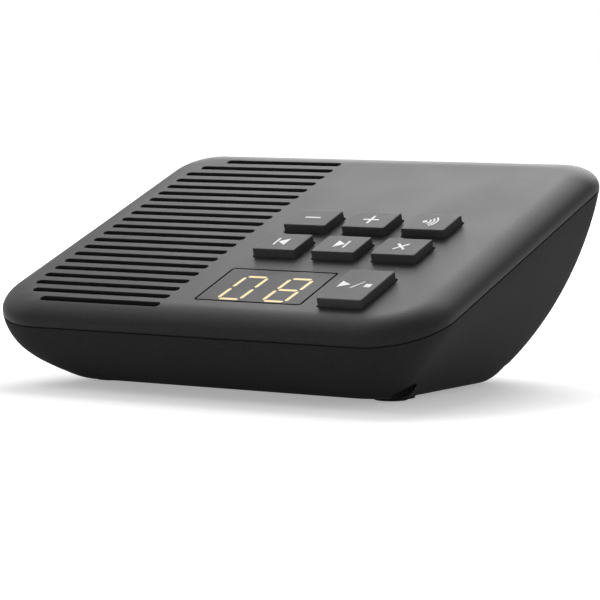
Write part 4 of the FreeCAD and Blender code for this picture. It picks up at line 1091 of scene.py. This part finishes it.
def make_floor():
    """Pale matt paper that keeps the soft shadow. For the eye, painted light lifts it to white: the
    painted glow is weakest next to the case and grows outwards, so that it pales the outer part of the
    shadow and leaves the part nearest the case dark."""
    half_side = 8.0
    corners = np.array([(-1, -1, 0), (1, -1, 0), (1, 1, 0), (-1, 1, 0)])
    floor = mesh_object("floor", [cap(corners * half_side / MM)])
    material, tree, place = new_material("pale_paper")
    shadow_inside = 0.04
    shadow_outside = 0.2
    distance = add(tree, "VectorMath", {0: place}, "Value", operation="LENGTH")
    # Painted light for the eye: weakest next to the case, strongest beyond the shadow's edge
    painted_lift = add(tree, "MapRange", {"Value": distance, "From Min": shadow_inside, "To Min": 0.36,
                                  "From Max": shadow_outside, "To Max": 0.9})
    level = add(tree, "Math", {0: seen_directly(tree), 1: painted_lift}, operation="MULTIPLY")
    fibres = add(tree, "TexNoise", {"Vector": place, "Scale": 1 / (30.0 * MM)})
    colour = add(tree, "Mix", {0: fibres, 6: linear("#e6e6e6"), 7: linear("#e9e9e9")}, 2,
                 data_type="RGBA")
    shader = add(tree, "BsdfPrincipled", {"Base Color": colour, "Roughness": 1.0,
                                          "Specular IOR Level": 0.0, "Emission Strength": level,
                                          "Emission Color": (1.0, 1.0, 1.0, 1.0)})
    add(tree, "OutputMaterial", {"Surface": shader})
    floor.data.materials.append(material)


def make_world():
    """Soft surroundings: white to the eye and in reflections, and a plain fill light otherwise."""
    world = bpy.data.worlds.new("soft_surroundings")
    world.use_nodes = True
    tree = world.node_tree
    tree.nodes.clear()
    fill = 0.27
    level = add(tree, "MapRange", {"Value": seen_directly(tree), "To Min": fill, "To Max": 1.0})
    back = add(tree, "Background", {"Color": (1.0, 1.0, 1.0, 1.0), "Strength": level})
    add(tree, "OutputWorld", {"Surface": back})
    bpy.context.scene.world = world


def area_light(name, place, target, size, watts):
    """Square softbox that faces a point."""
    data = bpy.data.lights.new(name, "AREA")
    data.size = size
    data.energy = watts
    light = bpy.data.objects.new(name, data)
    light.location = place
    light.rotation_mode = "QUATERNION"
    light.rotation_quaternion = (Vector(target) - Vector(place)).to_track_quat("-Z", "Y")
    bpy.context.scene.collection.objects.link(light)


def make_camera():
    """The photograph's view: a long lens a little above the table, to the right of the front. Its
    place, its directions and its length come from a fit to the object's outlines there."""
    right = Vector((0.8413, 0.5405, 0.0)).normalized()
    away = Vector((-0.5385, 0.8383, -0.0853)).normalized()
    up = right.cross(away)
    data = bpy.data.cameras.new("camera")
    data.lens = 178.48
    data.sensor_width = 36.0
    data.clip_start = 0.05
    data.clip_end = 50.0
    camera = bpy.data.objects.new("camera", data)
    turn = Matrix((right, up, -away)).transposed().to_4x4()
    camera.matrix_world = Matrix.Translation((0.36665, -0.56975, 0.07642)) @ turn
    bpy.context.scene.collection.objects.link(camera)
    bpy.context.scene.camera = camera


make_floor()
make_world()
# The large softbox behind lays the sheen on the deck, and the two others lighten the case's sides
area_light("rear_softbox", (-0.18, 0.55, 0.5), (0.0, 0.0, 0.03), 0.62, 6.6)
area_light("left_softbox", (-0.5, 0.0, 0.55), (0.0, 0.0, 0.02), 0.6, 1.4)
area_light("right_softbox", (0.62, 0.62, 0.12), (0.03, 0.0, 0.03), 0.3, 1.0)
make_camera()
bpy.context.scene.view_settings.view_transform = "Standard"
